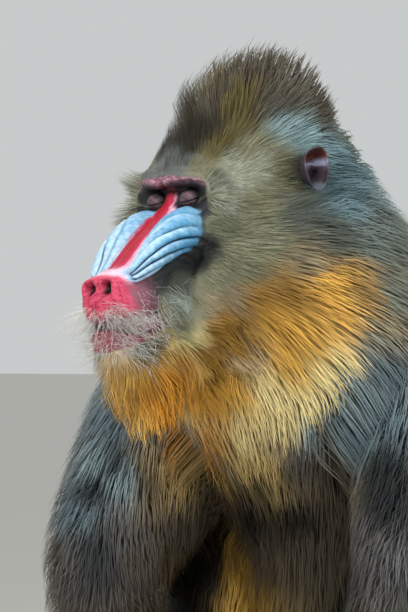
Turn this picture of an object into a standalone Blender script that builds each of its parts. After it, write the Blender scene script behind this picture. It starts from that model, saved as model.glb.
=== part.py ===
"""A seated male mandrill at life size, parted into the pieces that a person would name.

Metres, +Z up. The animal faces -Y, its left side is at +X, and the origin is the middle of the seat
flat under its rump, at floor level. The head is designed in its own frame, with the bridge of the nose
between the eyes as its origin, x to the left, y to the back and z up, and is then turned and placed.
"""

import math

import bmesh
import bpy
import numpy as np
from mathutils import Matrix, Vector
from mathutils.bvhtree import BVHTree

# Driving dimensions of an adult male, in metres.
BRIDGE = Vector((-0.037, -0.334, 0.600))
HEAD_YAW = math.radians(-18.7)
HEAD_PITCH = math.radians(6.6)
HEAD_ROLL = math.radians(-3.0)
MOUTH_FRONT_Z = -0.1035
EAR_ROOT = (0.071, 0.109, 0.009)
EAR_HEIGHT = 0.044
EAR_WIDTH = 0.031
EYE_CENTRE = (0.0235, 0.0075, -0.0035)
EYE_RADIUS = 0.0118
SHOULDER = (0.140, -0.124, 0.434)
ELBOW = (0.166, -0.244, 0.270)
WRIST = (0.132, -0.290, 0.050)
HIP = (0.085, 0.000, 0.100)
KNEE = (0.235, -0.145, 0.165)
ANKLE = (0.232, -0.272, 0.050)
TAIL = ((0, 0.100, 0.128), (0, 0.152, 0.148), (0, 0.182, 0.182), (0, 0.190, 0.212))
TAIL_RADII = (0.024, 0.022, 0.018, 0.014)
UPPER_ARM_RADII = (0.090, 0.083, 0.064)
FOREARM_RADII = (0.057, 0.055, 0.033, 0.022)
THIGH_RADII = (0.092, 0.080, 0.058)
SHIN_RADII = (0.055, 0.051, 0.032, 0.024)
SITTING_PAD = ((0.040, 0.030, 0.018), (0.046, 0.070, 0.030))
SITTING_PAD_RADII = (0.030, 0.026)
# Each cut through the body: its middle and its normal.
TAIL_CUT = ((0, 0.151, 0.155), (0, 1.0, 0.15))
WAIST_CUT = ((0, 0.018, 0.215), (0, 0.10, 1.0))
MANE_CUT = ((0, -0.125, 0.508), (0, -0.62, 0.78))
NAPE_CUT = ((-0.004, -0.205, 0.550), (0.05, -0.70, 0.71))
TRUNK_CUT_SIZE = 0.23
ARM_CUT_SIZE = 0.21
HIP_CUT_SIZE = 0.108
LEG_CUT_SIZE = 0.15
ELBOW_CUT_SIZE = 0.13
ANKLE_CUT_SIZE = 0.06
WRIST_CUT_SIZE = 0.05
TAIL_CUT_SIZE = 0.04
HAND_TURN = math.radians(-4)
FOOT_TURN = math.radians(-13)
JOINT_GAP = 0.0003
BODY_VOXEL = 0.0065
HEAD_VOXEL = 0.0028
DIGIT_VOXEL = 0.0026
BODY_FACES = 1900
HEAD_FACES = 2650
HAND_FACES = 320
EAR_TURN = math.radians(24)
EAR_SIDES = 22
# The long coat: the share of its depth that the solid core fills, and the shape of the locks.
CORE_SHARE = 0.45
ARM_COAT = 0.030
BEARD_CORE = 0.60
TEMPLE_CORE = 0.62
LOCK_SINK = 0.007
LOCK_THICKNESS = 0.24
LOCK_CLEARANCE = 0.0005
LEAST_COAT = 0.010
LONGEST_LOCK = 1.5
# Share of its full length and lift off the surface, tried in turn until a lock is clear of its neighbours.
LOCK_TRIES = ((1.0, 0.0), (0.9, 0.35), (0.7, 0.7), (0.5, 0.7))
CREST_SPACING = 0.0180
CHEEK_SPACING = 0.0250
BEARD_SPACING = 0.0180
RUFF_SPACING = 0.0340
MANE_SPACING = 0.0400
LOCK_SEED = 7
LOCKED_NODES = ("head", "lower_jaw", "neck", "chest", "upper_arm_left", "upper_arm_right")
HEAD_HAIR_BACK = 0.150

# The trunk from the rump upwards, out to the tips of its short coat: centre x, y, z, half width, depth to
# the back and depth to the front.
TRUNK = (
    (0, 0.012, -0.020, 0.040, 0.035, 0.035),
    (0, 0.013, 0.004, 0.092, 0.078, 0.070),
    (0, 0.018, 0.060, 0.124, 0.106, 0.110),
    (0, 0.022, 0.170, 0.146, 0.116, 0.150),
    (0, 0.004, 0.280, 0.152, 0.118, 0.160),
    (0, -0.038, 0.380, 0.150, 0.118, 0.152),
    (0, -0.090, 0.452, 0.126, 0.100, 0.118),
    (0, -0.150, 0.502, 0.098, 0.078, 0.090),
    (-0.004, -0.205, 0.540, 0.076, 0.064, 0.074),
    (-0.010, -0.255, 0.566, 0.058, 0.050, 0.060),
)
# The mane over the shoulders, round the throat and up the nape, in level sections: the same columns and
# the depth of the coat.
MANE = (
    (0, -0.028, 0.260, 0.100, 0.050, 0.165, 0.045),
    (0, -0.042, 0.330, 0.132, 0.105, 0.194, 0.056),
    (-0.002, -0.075, 0.395, 0.150, 0.150, 0.214, 0.064),
    (-0.004, -0.112, 0.450, 0.162, 0.172, 0.220, 0.070),
    (-0.004, -0.148, 0.500, 0.156, 0.158, 0.196, 0.070),
    (-0.002, -0.174, 0.545, 0.134, 0.122, 0.136, 0.068),
    (0, -0.190, 0.585, 0.106, 0.090, 0.088, 0.062),
    (0.002, -0.196, 0.627, 0.078, 0.070, 0.045, 0.050),
    (0.003, -0.201, 0.660, 0.052, 0.048, 0.020, 0.035),
    (0.004, -0.206, 0.680, 0.026, 0.026, 0.010, 0.015),
)


def smooth_rows(rows, steps):
    """Rows of a table joined by Catmull-Rom curves, with that many steps from each row to the next."""
    rows = np.asarray(rows, float)
    ends = np.vstack([2 * rows[0] - rows[1], rows, 2 * rows[-1] - rows[-2]])
    share = np.linspace(0, 1, steps, endpoint=False)[:, None]
    spans = []
    for i in range(1, len(ends) - 2):
        a, b, c, d = ends[i - 1 : i + 3]
        bend = (2 * a - 5 * b + 4 * c - d) * share**2
        turn = (3 * b - 3 * c + d - a) * share**3
        spans.append(0.5 * (2 * b + (c - a) * share + bend + turn))
    spans.append(rows[-1:])
    return np.vstack(spans)


def unit(vectors):
    return vectors / np.maximum(np.linalg.norm(vectors, axis=-1, keepdims=True), 1e-9)


def mesh_object(name, points, faces):
    mesh = bpy.data.meshes.new(name)
    mesh.from_pydata([tuple(p) for p in points], [], faces)
    mesh.update()
    obj = bpy.data.objects.new(name, mesh)
    bpy.context.scene.collection.objects.link(obj)
    return obj


def closed_rings(name, rings):
    """A closed surface through rings of points, with a fan over each end."""
    count, sides, _ = rings.shape
    points = np.vstack([rings.reshape(-1, 3), rings[0].mean(0), rings[-1].mean(0)])
    first_cap = count * sides
    faces = []
    for i in range(count - 1):
        for j in range(sides):
            k = (j + 1) % sides
            faces.append((i * sides + j, i * sides + k, (i + 1) * sides + k, (i + 1) * sides + j))
    for j in range(sides):
        k = (j + 1) % sides
        faces.append((first_cap, k, j))
        faces.append((first_cap + 1, (count - 1) * sides + j, (count - 1) * sides + k))
    return mesh_object(name, points, faces)


def tube(name, rows, sides=24, steps=4, power=2.0, level=False):
    """A closed tube. A row holds its centre, half width, half depth to the back and to the front."""
    rows = smooth_rows(rows, steps)
    centre = rows[:, :3]
    along = unit(np.gradient(centre, axis=0))
    if level:
        along[:] = (0, 0, 1)
    lateral = np.array((1.0, 0.0, 0.0))
    side = unit(lateral - along * (along @ lateral)[:, None])
    back = np.cross(along, side)
    angle = np.linspace(0, 2 * math.pi, sides, endpoint=False)
    across = np.sign(np.cos(angle)) * np.abs(np.cos(angle)) ** (2 / power)
    deep = np.sign(np.sin(angle)) * np.abs(np.sin(angle)) ** (2 / power)
    depth = np.where(deep[None, :] > 0, rows[:, 4:5], rows[:, 5:6]) * deep[None, :]
    width = rows[:, 3:4] * across[None, :]
    rings = centre[:, None, :] + side[:, None, :] * width[..., None] + back[:, None, :] * depth[..., None]
    return closed_rings(name, rings)


def round_tube(name, points, radii, sides=16, steps=4):
    """A closed round tube with domed ends, through points with a radius at each."""
    rows = [(*p, r, r, r) for p, r in zip(points, radii)]
    ends = []
    for here, inward in ((0, 1), (-1, -2)):
        p, q = np.array(points[here], float), np.array(points[inward], float)
        out = unit(p - q)
        r = radii[here]
        ends.append([(*(p + out * r * 0.55), *[r * 0.80] * 3), (*(p + out * r * 0.92), *[r * 0.30] * 3)])
    rows = [ends[0][1], ends[0][0], *rows, *ends[1]]
    return tube(name, rows, sides, steps)


def mirrored(point, side):
    return (point[0] * side, point[1], point[2])


def evaluated_copy(obj, name):
    """A new object with what the modifiers make of obj, and obj is removed."""
    graph = bpy.context.evaluated_depsgraph_get()
    mesh = bpy.data.meshes.new_from_object(obj.evaluated_get(graph))
    mesh.name = name
    made = bpy.data.objects.new(name, mesh)
    bpy.context.scene.collection.objects.link(made)
    bpy.data.objects.remove(obj)
    return made


def joined(name, objects):
    """One mesh object with the faces of all of them, which may pass through each other."""
    body = bmesh.new()
    for obj in objects:
        body.from_mesh(obj.data)
        bpy.data.objects.remove(obj)
    mesh = bpy.data.meshes.new(name)
    body.to_mesh(mesh)
    body.free()
    made = bpy.data.objects.new(name, mesh)
    bpy.context.scene.collection.objects.link(made)
    return made


def fused(name, objects, voxel, rounds):
    """The objects melted into one closed surface, with their joins rounded over."""
    made = joined(name, objects)
    remesh = made.modifiers.new("melt", "REMESH")
    remesh.mode = "VOXEL"
    remesh.voxel_size = voxel
    smooth = made.modifiers.new("round", "SMOOTH")
    smooth.factor = 0.5
    smooth.iterations = rounds
    return evaluated_copy(made, name)


def thinned(obj, faces):
    """The same surface with about that many triangles."""
    obj.data.calc_loop_triangles()
    modifier = obj.modifiers.new("thin", "DECIMATE")
    modifier.ratio = min(1.0, faces / len(obj.data.loop_triangles))
    return evaluated_copy(obj, obj.name)


def coordinates(obj):
    points = np.empty(len(obj.data.vertices) * 3)
    obj.data.vertices.foreach_get("co", points)
    return points.reshape(-1, 3)


def set_coordinates(obj, points):
    obj.data.vertices.foreach_set("co", np.ascontiguousarray(points, np.float64).ravel())
    obj.data.update()


def normals(obj):
    values = np.empty(len(obj.data.vertices) * 3, np.float32)
    obj.data.vertex_normals.foreach_get("vector", values)
    return values.reshape(-1, 3).astype(float)


def head_matrix():
    turn = Matrix.Rotation(HEAD_YAW, 4, "Z") @ Matrix.Rotation(HEAD_PITCH, 4, "X")
    return Matrix.Translation(BRIDGE) @ turn @ Matrix.Rotation(HEAD_ROLL, 4, "Y")


def in_world(point):
    return head_matrix() @ Vector(point)


# Body

def coated(table, share):
    """The rows of a table with that share of the coat in its last column, and without the column."""
    rows = np.array(table, float)
    bare = (1 - share) * rows[:, 6:7]
    rows[:, 3:6] = np.maximum(rows[:, 3:6] - bare, 0.006)
    return rows[:, :6]


def middle(a, b, share):
    return tuple(np.array(a) * (1 - share) + np.array(b) * share)


def limbs(side, share):
    shoulder, elbow, wrist = (mirrored(p, side) for p in (SHOULDER, ELBOW, WRIST))
    hip, knee, ankle = (mirrored(p, side) for p in (HIP, KNEE, ANKLE))
    hand = middle(wrist, (wrist[0], wrist[1] - 0.03, 0.022), 0.9)
    foot = middle(ankle, (ankle[0], ankle[1] - 0.03, 0.024), 0.9)
    bare = (1 - share) * ARM_COAT
    upper = [UPPER_ARM_RADII[0] - bare, UPPER_ARM_RADII[1] - bare, UPPER_ARM_RADII[2]]
    return [
        round_tube("upper", [shoulder, middle(shoulder, elbow, 0.5), elbow], upper),
        round_tube("fore", [elbow, middle(elbow, wrist, 0.4), wrist, hand], FOREARM_RADII),
        round_tube("thigh", [hip, middle(hip, knee, 0.5), knee], THIGH_RADII),
        round_tube("shin", [knee, middle(knee, ankle, 0.4), ankle, foot], SHIN_RADII),
    ]


def trunk_shape(share):
    """Trunk, mane, limbs, sitting pads and tail stub melted into one body."""
    pieces = [tube("trunk", TRUNK, sides=32, power=2.2)]
    pieces.append(tube("mane", coated(MANE, share), sides=32, power=2.1, level=True))
    pieces += limbs(1, share) + limbs(-1, share)
    pieces.append(round_tube("tail", TAIL, TAIL_RADII))
    for side in (1, -1):
        pad = [mirrored(p, side) for p in SITTING_PAD]
        pieces.append(round_tube("pad", pad, SITTING_PAD_RADII))
    return fused("trunk", pieces, BODY_VOXEL, 4)


# Head

# The skull with its muscles: y, top z, bottom z, half width.
SKULL = (
    (0.130, -0.004, -0.034, 0.020),
    (0.120, 0.026, -0.060, 0.044),
    (0.092, 0.045, -0.086, 0.060),
    (0.056, 0.051, -0.098, 0.065),
    (0.024, 0.049, -0.100, 0.063),
    (0.004, 0.042, -0.090, 0.056),
    (-0.006, 0.032, -0.076, 0.045),
    (-0.012, 0.022, -0.058, 0.030),
)
# The upper snout, from the eyes to the nose.
SNOUT = (
    (0.024, -0.004, -0.108, 0.042),
    (0.004, -0.002, -0.110, 0.042),
    (-0.020, -0.020, -0.110, 0.037),
    (-0.042, -0.036, -0.110, 0.035),
    (-0.062, -0.050, -0.108, 0.033),
    (-0.076, -0.062, -0.106, 0.031),
    (-0.087, -0.073, -0.105, 0.026),
    (-0.0945, -0.083, -0.104, 0.018),
    (-0.0985, -0.089, -0.101, 0.009),
)
# Tubes with a radius at each point: the ridge of the brow, the bridge of the nose, the throat and a
# cheekbone.
BROW = (
    (-0.042, 0.014, 0.011),
    (-0.023, 0.001, 0.0165),
    (0, -0.003, 0.0155),
    (0.023, 0.001, 0.0165),
    (0.042, 0.014, 0.011),
)
BROW_RADII = (0.0090, 0.0095, 0.0090, 0.0095, 0.0090)
NOSE_BRIDGE = ((0, 0.006, 0.002), (0, -0.020, -0.0220), (0, -0.050, -0.0445), (0, -0.078, -0.0635))
NOSE_BRIDGE_RADII = (0.0085, 0.0085, 0.0085, 0.0090)
THROAT = ((0, -0.050, -0.112), (0, 0.000, -0.106), (0, 0.050, -0.090))
THROAT_RADII = (0.024, 0.038, 0.046)
CHEEKBONE = ((0.036, 0.002, -0.030), (0.050, 0.030, -0.030), (0.055, 0.060, -0.026))
CHEEKBONE_RADII = (0.012, 0.013, 0.010)
TEMPLE = (0.053, 0.014, -0.006)
TEMPLE_SIZE = (0.019, 0.020, 0.033)
# The end of the nose and one swelling beside it: centre x, y, z, half width, depth to the top and below.
NOSE = (
    (0, -0.052, -0.062, 0.014, 0.012, 0.014),
    (0, -0.066, -0.069, 0.0215, 0.0145, 0.019),
    (0, -0.079, -0.0750, 0.0265, 0.0170, 0.020),
    (0, -0.0865, -0.0770, 0.0255, 0.0165, 0.018),
    (0, -0.0920, -0.0790, 0.016, 0.011, 0.013),
)
SWELLING = (
    (0.0270, 0.004, -0.026, 0.0140, 0.0155, 0.017),
    (0.0280, -0.008, -0.030, 0.0190, 0.0215, 0.017),
    (0.0260, -0.030, -0.0395, 0.0190, 0.0225, 0.016),
    (0.0215, -0.050, -0.0515, 0.0155, 0.0190, 0.014),
    (0.0165, -0.069, -0.0645, 0.0100, 0.0120, 0.010),
)
CHIN = (0, -0.056, -0.118)
# The lower jaw, from its angle to the chin.
JAW = (
    (0.070, -0.060, -0.108, 0.046),
    (0.040, -0.076, -0.126, 0.050),
    (0, -0.092, -0.138, 0.046),
    (-0.040, -0.098, -0.141, 0.039),
    (-0.072, -0.098, -0.139, 0.032),
    (-0.084, -0.098, -0.134, 0.025),
    (-0.0925, -0.101, -0.125, 0.014),
)


# The hair of the crown: y, top z, bottom z, half width and depth of the coat on top.
CREST = (
    (0.184, 0.050, 0.006, 0.020, 0.032),
    (0.172, 0.086, -0.030, 0.044, 0.050),
    (0.150, 0.114, -0.040, 0.062, 0.072),
    (0.118, 0.128, -0.040, 0.068, 0.078),
    (0.078, 0.114, -0.040, 0.068, 0.064),
    (0.044, 0.088, -0.030, 0.058, 0.040),
    (0.022, 0.064, -0.012, 0.046, 0.024),
    (0.008, 0.045, 0.004, 0.032, 0.010),
    (-0.001, 0.033, 0.014, 0.016, 0.003),
)
# The whiskers of one cheek: centre x, y, z, half width, height over and under the centre, depth of coat.
WHISKERS = (
    (0.032, 0.172, -0.056, 0.034, 0.045, 0.056, 0.034),
    (0.046, 0.142, -0.062, 0.054, 0.062, 0.084, 0.038),
    (0.052, 0.100, -0.066, 0.052, 0.064, 0.094, 0.036),
    (0.054, 0.060, -0.066, 0.041, 0.064, 0.090, 0.026),
    (0.054, 0.028, -0.068, 0.028, 0.054, 0.078, 0.014),
    (0.050, 0.004, -0.082, 0.016, 0.032, 0.056, 0.006),
    (0.044, -0.016, -0.096, 0.008, 0.014, 0.028, 0.000),
)
# The beard from its tip up to the chin: centre x, y, z, half width, depth to the back and to the front.
BEARD = (
    (0, -0.064, -0.226, 0.005, 0.006, 0.005),
    (0, -0.058, -0.210, 0.024, 0.026, 0.018),
    (0, -0.054, -0.186, 0.042, 0.045, 0.034),
    (0, -0.056, -0.158, 0.050, 0.055, 0.044),
    (0, -0.056, -0.134, 0.046, 0.055, 0.044),
    (0, -0.052, -0.118, 0.036, 0.045, 0.036),
)


def section_loft(name, table, power=2.3, sides=32):
    """A loft of upright sections: each row of the table holds y, top, bottom and half width."""
    rows = [(0, y, (top + low) / 2, half, (top - low) / 2, (top - low) / 2) for y, top, low, half in table]
    return tube(name, rows, sides=sides, steps=3, power=power)


def temple(side, share):
    """The hair that flares out beside an eye: an egg, whose core is smaller and set further in."""
    x, y, z = TEMPLE
    wide, deep, high = (size * (1 if share == 1 else TEMPLE_CORE) for size in TEMPLE_SIZE)
    x = side * (x - (0 if share == 1 else 0.005))
    rows = []
    for angle in np.linspace(-1.45, 1.45, 9):
        half = math.cos(angle)
        rows.append((x, y, z + high * math.sin(angle), wide * half, deep * half, deep * half))
    return tube("temple", rows, steps=2, level=True)


def hair_forms(share):
    """Crest, cheek whiskers and beard with that share of their coat. At 1 they reach out to the tips."""
    crest = [
        (y, top - (1 - share) * coat, low, half - (1 - share) * coat * 0.20)
        for y, top, low, half, coat in CREST
    ]
    beard = np.array(BEARD)
    size = 1 if share == 1 else BEARD_CORE
    beard[:, :3] = (beard[:, :3] - CHIN) * size + CHIN
    beard[:, 3:] *= size
    pieces = [section_loft("crest", crest, 1.45), tube("beard", beard, sides=24)]
    for side in (1, -1):
        pieces.append(temple(side, share))
        rows = coated(WHISKERS, share)
        rows[:, 0] *= side
        pieces.append(tube("whiskers", rows, sides=24))
    return pieces


def head_shape(share):
    """Skull, snout, jaw, brow, cheekbones and the two swellings, melted together in the head's frame."""
    pieces = [
        section_loft("skull", SKULL, 2.2),
        section_loft("snout", SNOUT, 2.7),
        section_loft("jaw", JAW, 2.4),
        round_tube("brow", BROW, BROW_RADII),
        round_tube("bridge", NOSE_BRIDGE, NOSE_BRIDGE_RADII),
        round_tube("throat", THROAT, THROAT_RADII),
        tube("nose", NOSE, power=2.3),
    ]
    pieces += hair_forms(share)
    for side in (1, -1):
        cheek = [mirrored(p, side) for p in CHEEKBONE]
        pieces.append(round_tube("cheekbone", cheek, CHEEKBONE_RADII))
        pieces.append(tube("swelling", [(side * x, *rest) for x, *rest in SWELLING]))
    return fused("head", pieces, HEAD_VOXEL, 3)


def press(points, centre, reach, push):
    """Moves points near centre by push, fading out with distance. Reach is one radius for each axis."""
    offset = (points - np.array(centre)) / np.array(reach)
    points += np.exp(-(offset**2).sum(1))[:, None] * np.array(push)


def mouth_line(y):
    """Height of the line between the lips at y: level in front and a little lower before the corner."""
    share = np.clip((y + 0.102) / 0.060, 0, 1)
    return MOUTH_FRONT_Z - 0.0045 * np.sin(math.pi * share) - 0.001 * share


def sculpt_head(obj):
    """Eye sockets, nostrils, lips and the hollow under the cheekbone, pressed into the melted head."""
    points = coordinates(obj)
    for side in (1, -1):
        press(points, (side * 0.0235, -0.006, -0.004), (0.0125, 0.016, 0.0095), (0, 0.0095, 0))
        nostril = (side * 0.0130, -0.0890, -0.0722)
        press(points, nostril, (0.0054, 0.010, 0.0050), (side * 0.001, 0.011, 0.002))
        press(points, (side * 0.0175, -0.081, -0.072), (0.008, 0.010, 0.009), (side * 0.002, -0.001, 0.001))
        press(points, (side * 0.070, 0.100, 0.010), (0.030, 0.024, 0.026), (-side * 0.007, 0, 0))
        press(points, (side * 0.050, -0.030, -0.075), (0.018, 0.025, 0.020), (-side * 0.004, 0, 0))
    press(points, (0, -0.091, -0.074), (0.0035, 0.008, 0.012), (0, 0.0022, 0))
    lip = np.exp(-(((points[:, 2] - mouth_line(points[:, 1])) / 0.0028) ** 2))
    front = 1 / (1 + np.exp((points[:, 1] + 0.044) / 0.003))
    outward = unit(points * (1, 1, 0) - np.array((0, -0.060, 0)))
    points -= outward * (0.0034 * lip * front)[:, None]
    set_coordinates(obj, points)
    return obj


def faced_out(obj):
    shell = bmesh.new()
    shell.from_mesh(obj.data)
    bmesh.ops.recalc_face_normals(shell, faces=shell.faces)
    shell.to_mesh(obj.data)
    shell.free()


def boolean(obj, other, operation, solver="EXACT"):
    modifier = obj.modifiers.new("join", "BOOLEAN")
    modifier.operation = operation
    modifier.solver = solver
    if isinstance(other, bpy.types.Collection):
        modifier.operand_type = "COLLECTION"
        modifier.collection = other
    else:
        modifier.object = other
    made = evaluated_copy(obj, obj.name)
    gone = list(other.objects) if isinstance(other, bpy.types.Collection) else [other]
    for piece in gone:
        bpy.data.objects.remove(piece)
    return made


# Hands and feet

def paw(name, side, wrist, turn, palm, digits, thumb, height):
    """A hand or foot flat on the floor: a palm, four digits forward and one to the inner side."""
    length, half = palm
    place = Matrix.Translation((wrist[0] * side, wrist[1], 0)) @ Matrix.Rotation(turn * -side, 4, "Z")

    def at(x, y, z):
        return tuple(place @ Vector((x * side, y, z)))

    rows = [
        (*at(0, 0.014, wrist[2] * 0.92), 0.023, 0.018, 0.018),
        (*at(0, -0.004, height * 1.25), half * 0.82, 0.020, 0.020),
        (*at(0, -length * 0.5, height * 0.80), half * 0.98, height * 0.72, height * 0.8),
        (*at(0, -length, height * 0.55), half * 0.95, height * 0.5, height * 0.55),
        (*at(0, -length * 1.08, height * 0.50), half * 0.60, height * 0.30, height * 0.4),
    ]
    pieces = [tube("palm", rows, sides=20)]
    for x, reach, thick in digits:
        base = at(x, -length * 0.78, height * 0.52)
        knuckle = at(x * 1.16, -length - reach * 0.48, height * 0.62)
        tip = at(x * 1.26, -length - reach, thick * 0.82)
        radii = (thick * 1.05, thick, thick * 0.82)
        pieces.append(round_tube("digit", [base, knuckle, tip], radii, sides=12))
    x, y, reach, thick = thumb
    base = at(x * 0.4, y + 0.012, height * 0.6)
    knuckle = at(x, y - reach * 0.3, height * 0.5)
    tip = at(x * 1.30, y - reach, thick * 0.80)
    radii = (thick * 1.2, thick * 1.05, thick * 0.8)
    pieces.append(round_tube("thumb", [base, knuckle, tip], radii, sides=12))
    return thinned(fused(name, pieces, DIGIT_VOXEL, 2), HAND_FACES)


# Palm length and half width; for each digit its place across, length and thickness; the thumb's x, y,
# length and thickness; the height of the back of the hand.
HAND = (
    (0.066, 0.033),
    ((0.0255, 0.052, 0.0080), (0.0085, 0.062, 0.0085), (-0.0085, 0.058, 0.0085), (-0.0255, 0.044, 0.0075)),
    (-0.034, -0.020, 0.030, 0.0085),
    0.026,
)
FOOT = (
    (0.122, 0.034),
    ((0.0265, 0.045, 0.0080), (0.0090, 0.057, 0.0085), (-0.0090, 0.057, 0.0088), (-0.0265, 0.049, 0.0088)),
    (-0.036, -0.066, 0.042, 0.0105),
    0.028,
)


# Parting

def slab(centre, normal, size):
    """A thin square plate across a joint, size from its middle to each side. What it cuts keeps that gap."""
    z = JOINT_GAP / 2
    corners = [(i * size, j * size, k * z) for k in (-1, 1) for i, j in ((-1, -1), (1, -1), (1, 1), (-1, 1))]
    faces = [(3, 2, 1, 0), (4, 5, 6, 7), (0, 1, 5, 4), (1, 2, 6, 5), (2, 3, 7, 6), (3, 0, 4, 7)]
    turn = Vector((0, 0, 1)).rotation_difference(Vector(normal)).to_matrix().to_4x4()
    place = Matrix.Translation(centre) @ turn
    return mesh_object("cut", [place @ Vector(c) for c in corners], faces)


# From the front of the mouth to its corner, then the rest of the cut: y and z down behind the chin.
MOUTH_REACH = (-0.125, -0.044)
JAW_CUT = ((-0.034, -0.114), (-0.018, -0.128), (-0.004, -0.150), (0.002, -0.190), (0.004, -0.270))
JAW_CUT_HALF = 0.100
JAW_GAP = 0.0006


def jaw_cutter():
    """A thin sheet along the line of the mouth and down behind the chin, right through the snout."""
    line = [(y, float(mouth_line(y))) for y in np.linspace(*MOUTH_REACH, 7)]
    line += JAW_CUT
    points, faces = [], []
    for i, (y, z) in enumerate(line):
        before = Vector(line[max(i - 1, 0)])
        after = Vector(line[min(i + 1, len(line) - 1)])
        run = (after - before).normalized()
        off = Vector((-run.y, run.x)) * JAW_GAP / 2
        for x in (-JAW_CUT_HALF, JAW_CUT_HALF):
            for sign in (1, -1):
                points.append(in_world((x, y + off.x * sign, z + off.y * sign)))
    for i in range(len(line) - 1):
        a, b = i * 4, i * 4 + 4
        faces += [(a, b, b + 2, a + 2), (a + 1, a + 3, b + 3, b + 1)]
        faces += [(a, a + 1, b + 1, b), (a + 2, b + 2, b + 3, a + 3)]
    last = len(line) * 4 - 4
    faces += [(0, 2, 3, 1), (last, last + 1, last + 3, last + 2)]
    obj = mesh_object("jaw_cut", points, faces)
    faced_out(obj)
    return obj


def toward(a, b):
    return (Vector(b) - Vector(a)).normalized()


def loose_parts(obj):
    """The separate closed surfaces of a mesh, each as a list of its faces' indices."""
    shell = bmesh.new()
    shell.from_mesh(obj.data)
    shell.faces.ensure_lookup_table()
    seen = set()
    groups = []
    for face in shell.faces:
        if face.index in seen:
            continue
        queue = [face]
        seen.add(face.index)
        found = []
        while queue:
            here = queue.pop()
            found.append(here.index)
            for edge in here.edges:
                for other in edge.link_faces:
                    if other.index not in seen:
                        seen.add(other.index)
                        queue.append(other)
        groups.append(found)
    shell.free()
    return groups


def part_of(obj, keep, name):
    """A new object with only those faces of obj."""
    shell = bmesh.new()
    shell.from_mesh(obj.data)
    shell.faces.ensure_lookup_table()
    kept = set(keep)
    bmesh.ops.delete(shell, geom=[f for f in shell.faces if f.index not in kept], context="FACES")
    loose = [v for v in shell.verts if not v.link_faces]
    bmesh.ops.delete(shell, geom=loose, context="VERTS")
    mesh = bpy.data.meshes.new(name)
    shell.to_mesh(mesh)
    shell.free()
    made = bpy.data.objects.new(name, mesh)
    bpy.context.scene.collection.objects.link(made)
    return made


def volume_of(obj):
    shell = bmesh.new()
    shell.from_mesh(obj.data)
    size = shell.calc_volume()
    shell.free()
    return size


def largest(obj):
    """obj with only its largest closed surface."""
    parts = [part_of(obj, faces, obj.name) for faces in loose_parts(obj)]
    parts.sort(key=lambda piece: -abs(volume_of(piece)))
    for piece in parts[1:]:
        bpy.data.objects.remove(piece)
    name = obj.name
    bpy.data.objects.remove(obj)
    parts[0].name = name
    return parts[0]


def holds(obj, point):
    """Whether the closed surface holds the point: a ray from it then crosses an odd number of times."""
    tree = BVHTree.FromObject(obj, bpy.context.evaluated_depsgraph_get())
    here = Vector(point)
    along = Vector((0.31, 0.47, 0.83)).normalized()
    crossings = 0
    while True:
        spot = tree.ray_cast(here, along)[0]
        if spot is None:
            return crossings % 2 == 1
        crossings += 1
        here = spot + along * 1e-6


def cut_off(rest, cutter, seed):
    """Cuts rest and gives back the piece that holds the seed and the largest of the others."""
    cut = boolean(rest, cutter, "DIFFERENCE", "MANIFOLD")
    pieces = [part_of(cut, faces, "piece") for faces in loose_parts(cut)]
    bpy.data.objects.remove(cut)
    bpy.context.view_layer.update()
    part = next(piece for piece in pieces if holds(piece, seed))
    pieces.remove(part)
    rest = max(pieces, key=volume_of)
    pieces.remove(rest)
    for scrap in pieces:
        bpy.data.objects.remove(scrap)
    return part, rest


def parted(whole):
    """The whole body cut into its nodes, one thin cut after the other."""
    nodes = {}
    nodes["tail"], rest = cut_off(whole, slab(*TAIL_CUT, TAIL_CUT_SIZE), TAIL[2])
    nodes["lower_jaw"], rest = cut_off(rest, jaw_cutter(), in_world((0, -0.070, -0.118)))
    nodes["head"], rest = cut_off(rest, slab(*NAPE_CUT, TRUNK_CUT_SIZE), in_world((0, 0.04, -0.02)))
    nodes["neck"], rest = cut_off(rest, slab(*MANE_CUT, TRUNK_CUT_SIZE), (0, -0.160, 0.530))
    for side, word in ((1, "left"), (-1, "right")):
        hip, knee, ankle = (mirrored(p, side) for p in (HIP, KNEE, ANKLE))
        cutter = slab(middle(hip, knee, 0.43), (0.72 * side, -0.69, 0.0), HIP_CUT_SIZE)
        leg, rest = cut_off(rest, cutter, middle(hip, knee, 0.8))
        cutter = slab(knee, toward(hip, knee) + toward(knee, ankle), LEG_CUT_SIZE)
        lower, nodes["thigh_" + word] = cut_off(leg, cutter, middle(knee, ankle, 0.5))
        cutter = slab(middle(knee, ankle, 0.90), toward(knee, ankle), ANKLE_CUT_SIZE)
        sole = (ankle[0], ankle[1] - 0.05, 0.018)
        nodes["foot_" + word], nodes["shin_" + word] = cut_off(lower, cutter, sole)
        shoulder, elbow, wrist = (mirrored(p, side) for p in (SHOULDER, ELBOW, WRIST))
        cutter = slab(middle(shoulder, elbow, 0.12), (0.90 * side, -0.38, -0.20), ARM_CUT_SIZE)
        arm, rest = cut_off(rest, cutter, middle(shoulder, elbow, 0.7))
        cutter = slab(elbow, toward(shoulder, elbow) + toward(elbow, wrist), ELBOW_CUT_SIZE)
        lower, nodes["upper_arm_" + word] = cut_off(arm, cutter, middle(elbow, wrist, 0.5))
        cutter = slab(middle(elbow, wrist, 0.93), toward(elbow, wrist), WRIST_CUT_SIZE)
        palm = (wrist[0], wrist[1] - 0.035, 0.018)
        nodes["hand_" + word], nodes["forearm_" + word] = cut_off(lower, cutter, palm)
    nodes["chest"], nodes["hips"] = cut_off(rest, slab(*WAIST_CUT, TRUNK_CUT_SIZE), (0, -0.02, 0.34))
    return nodes


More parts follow.
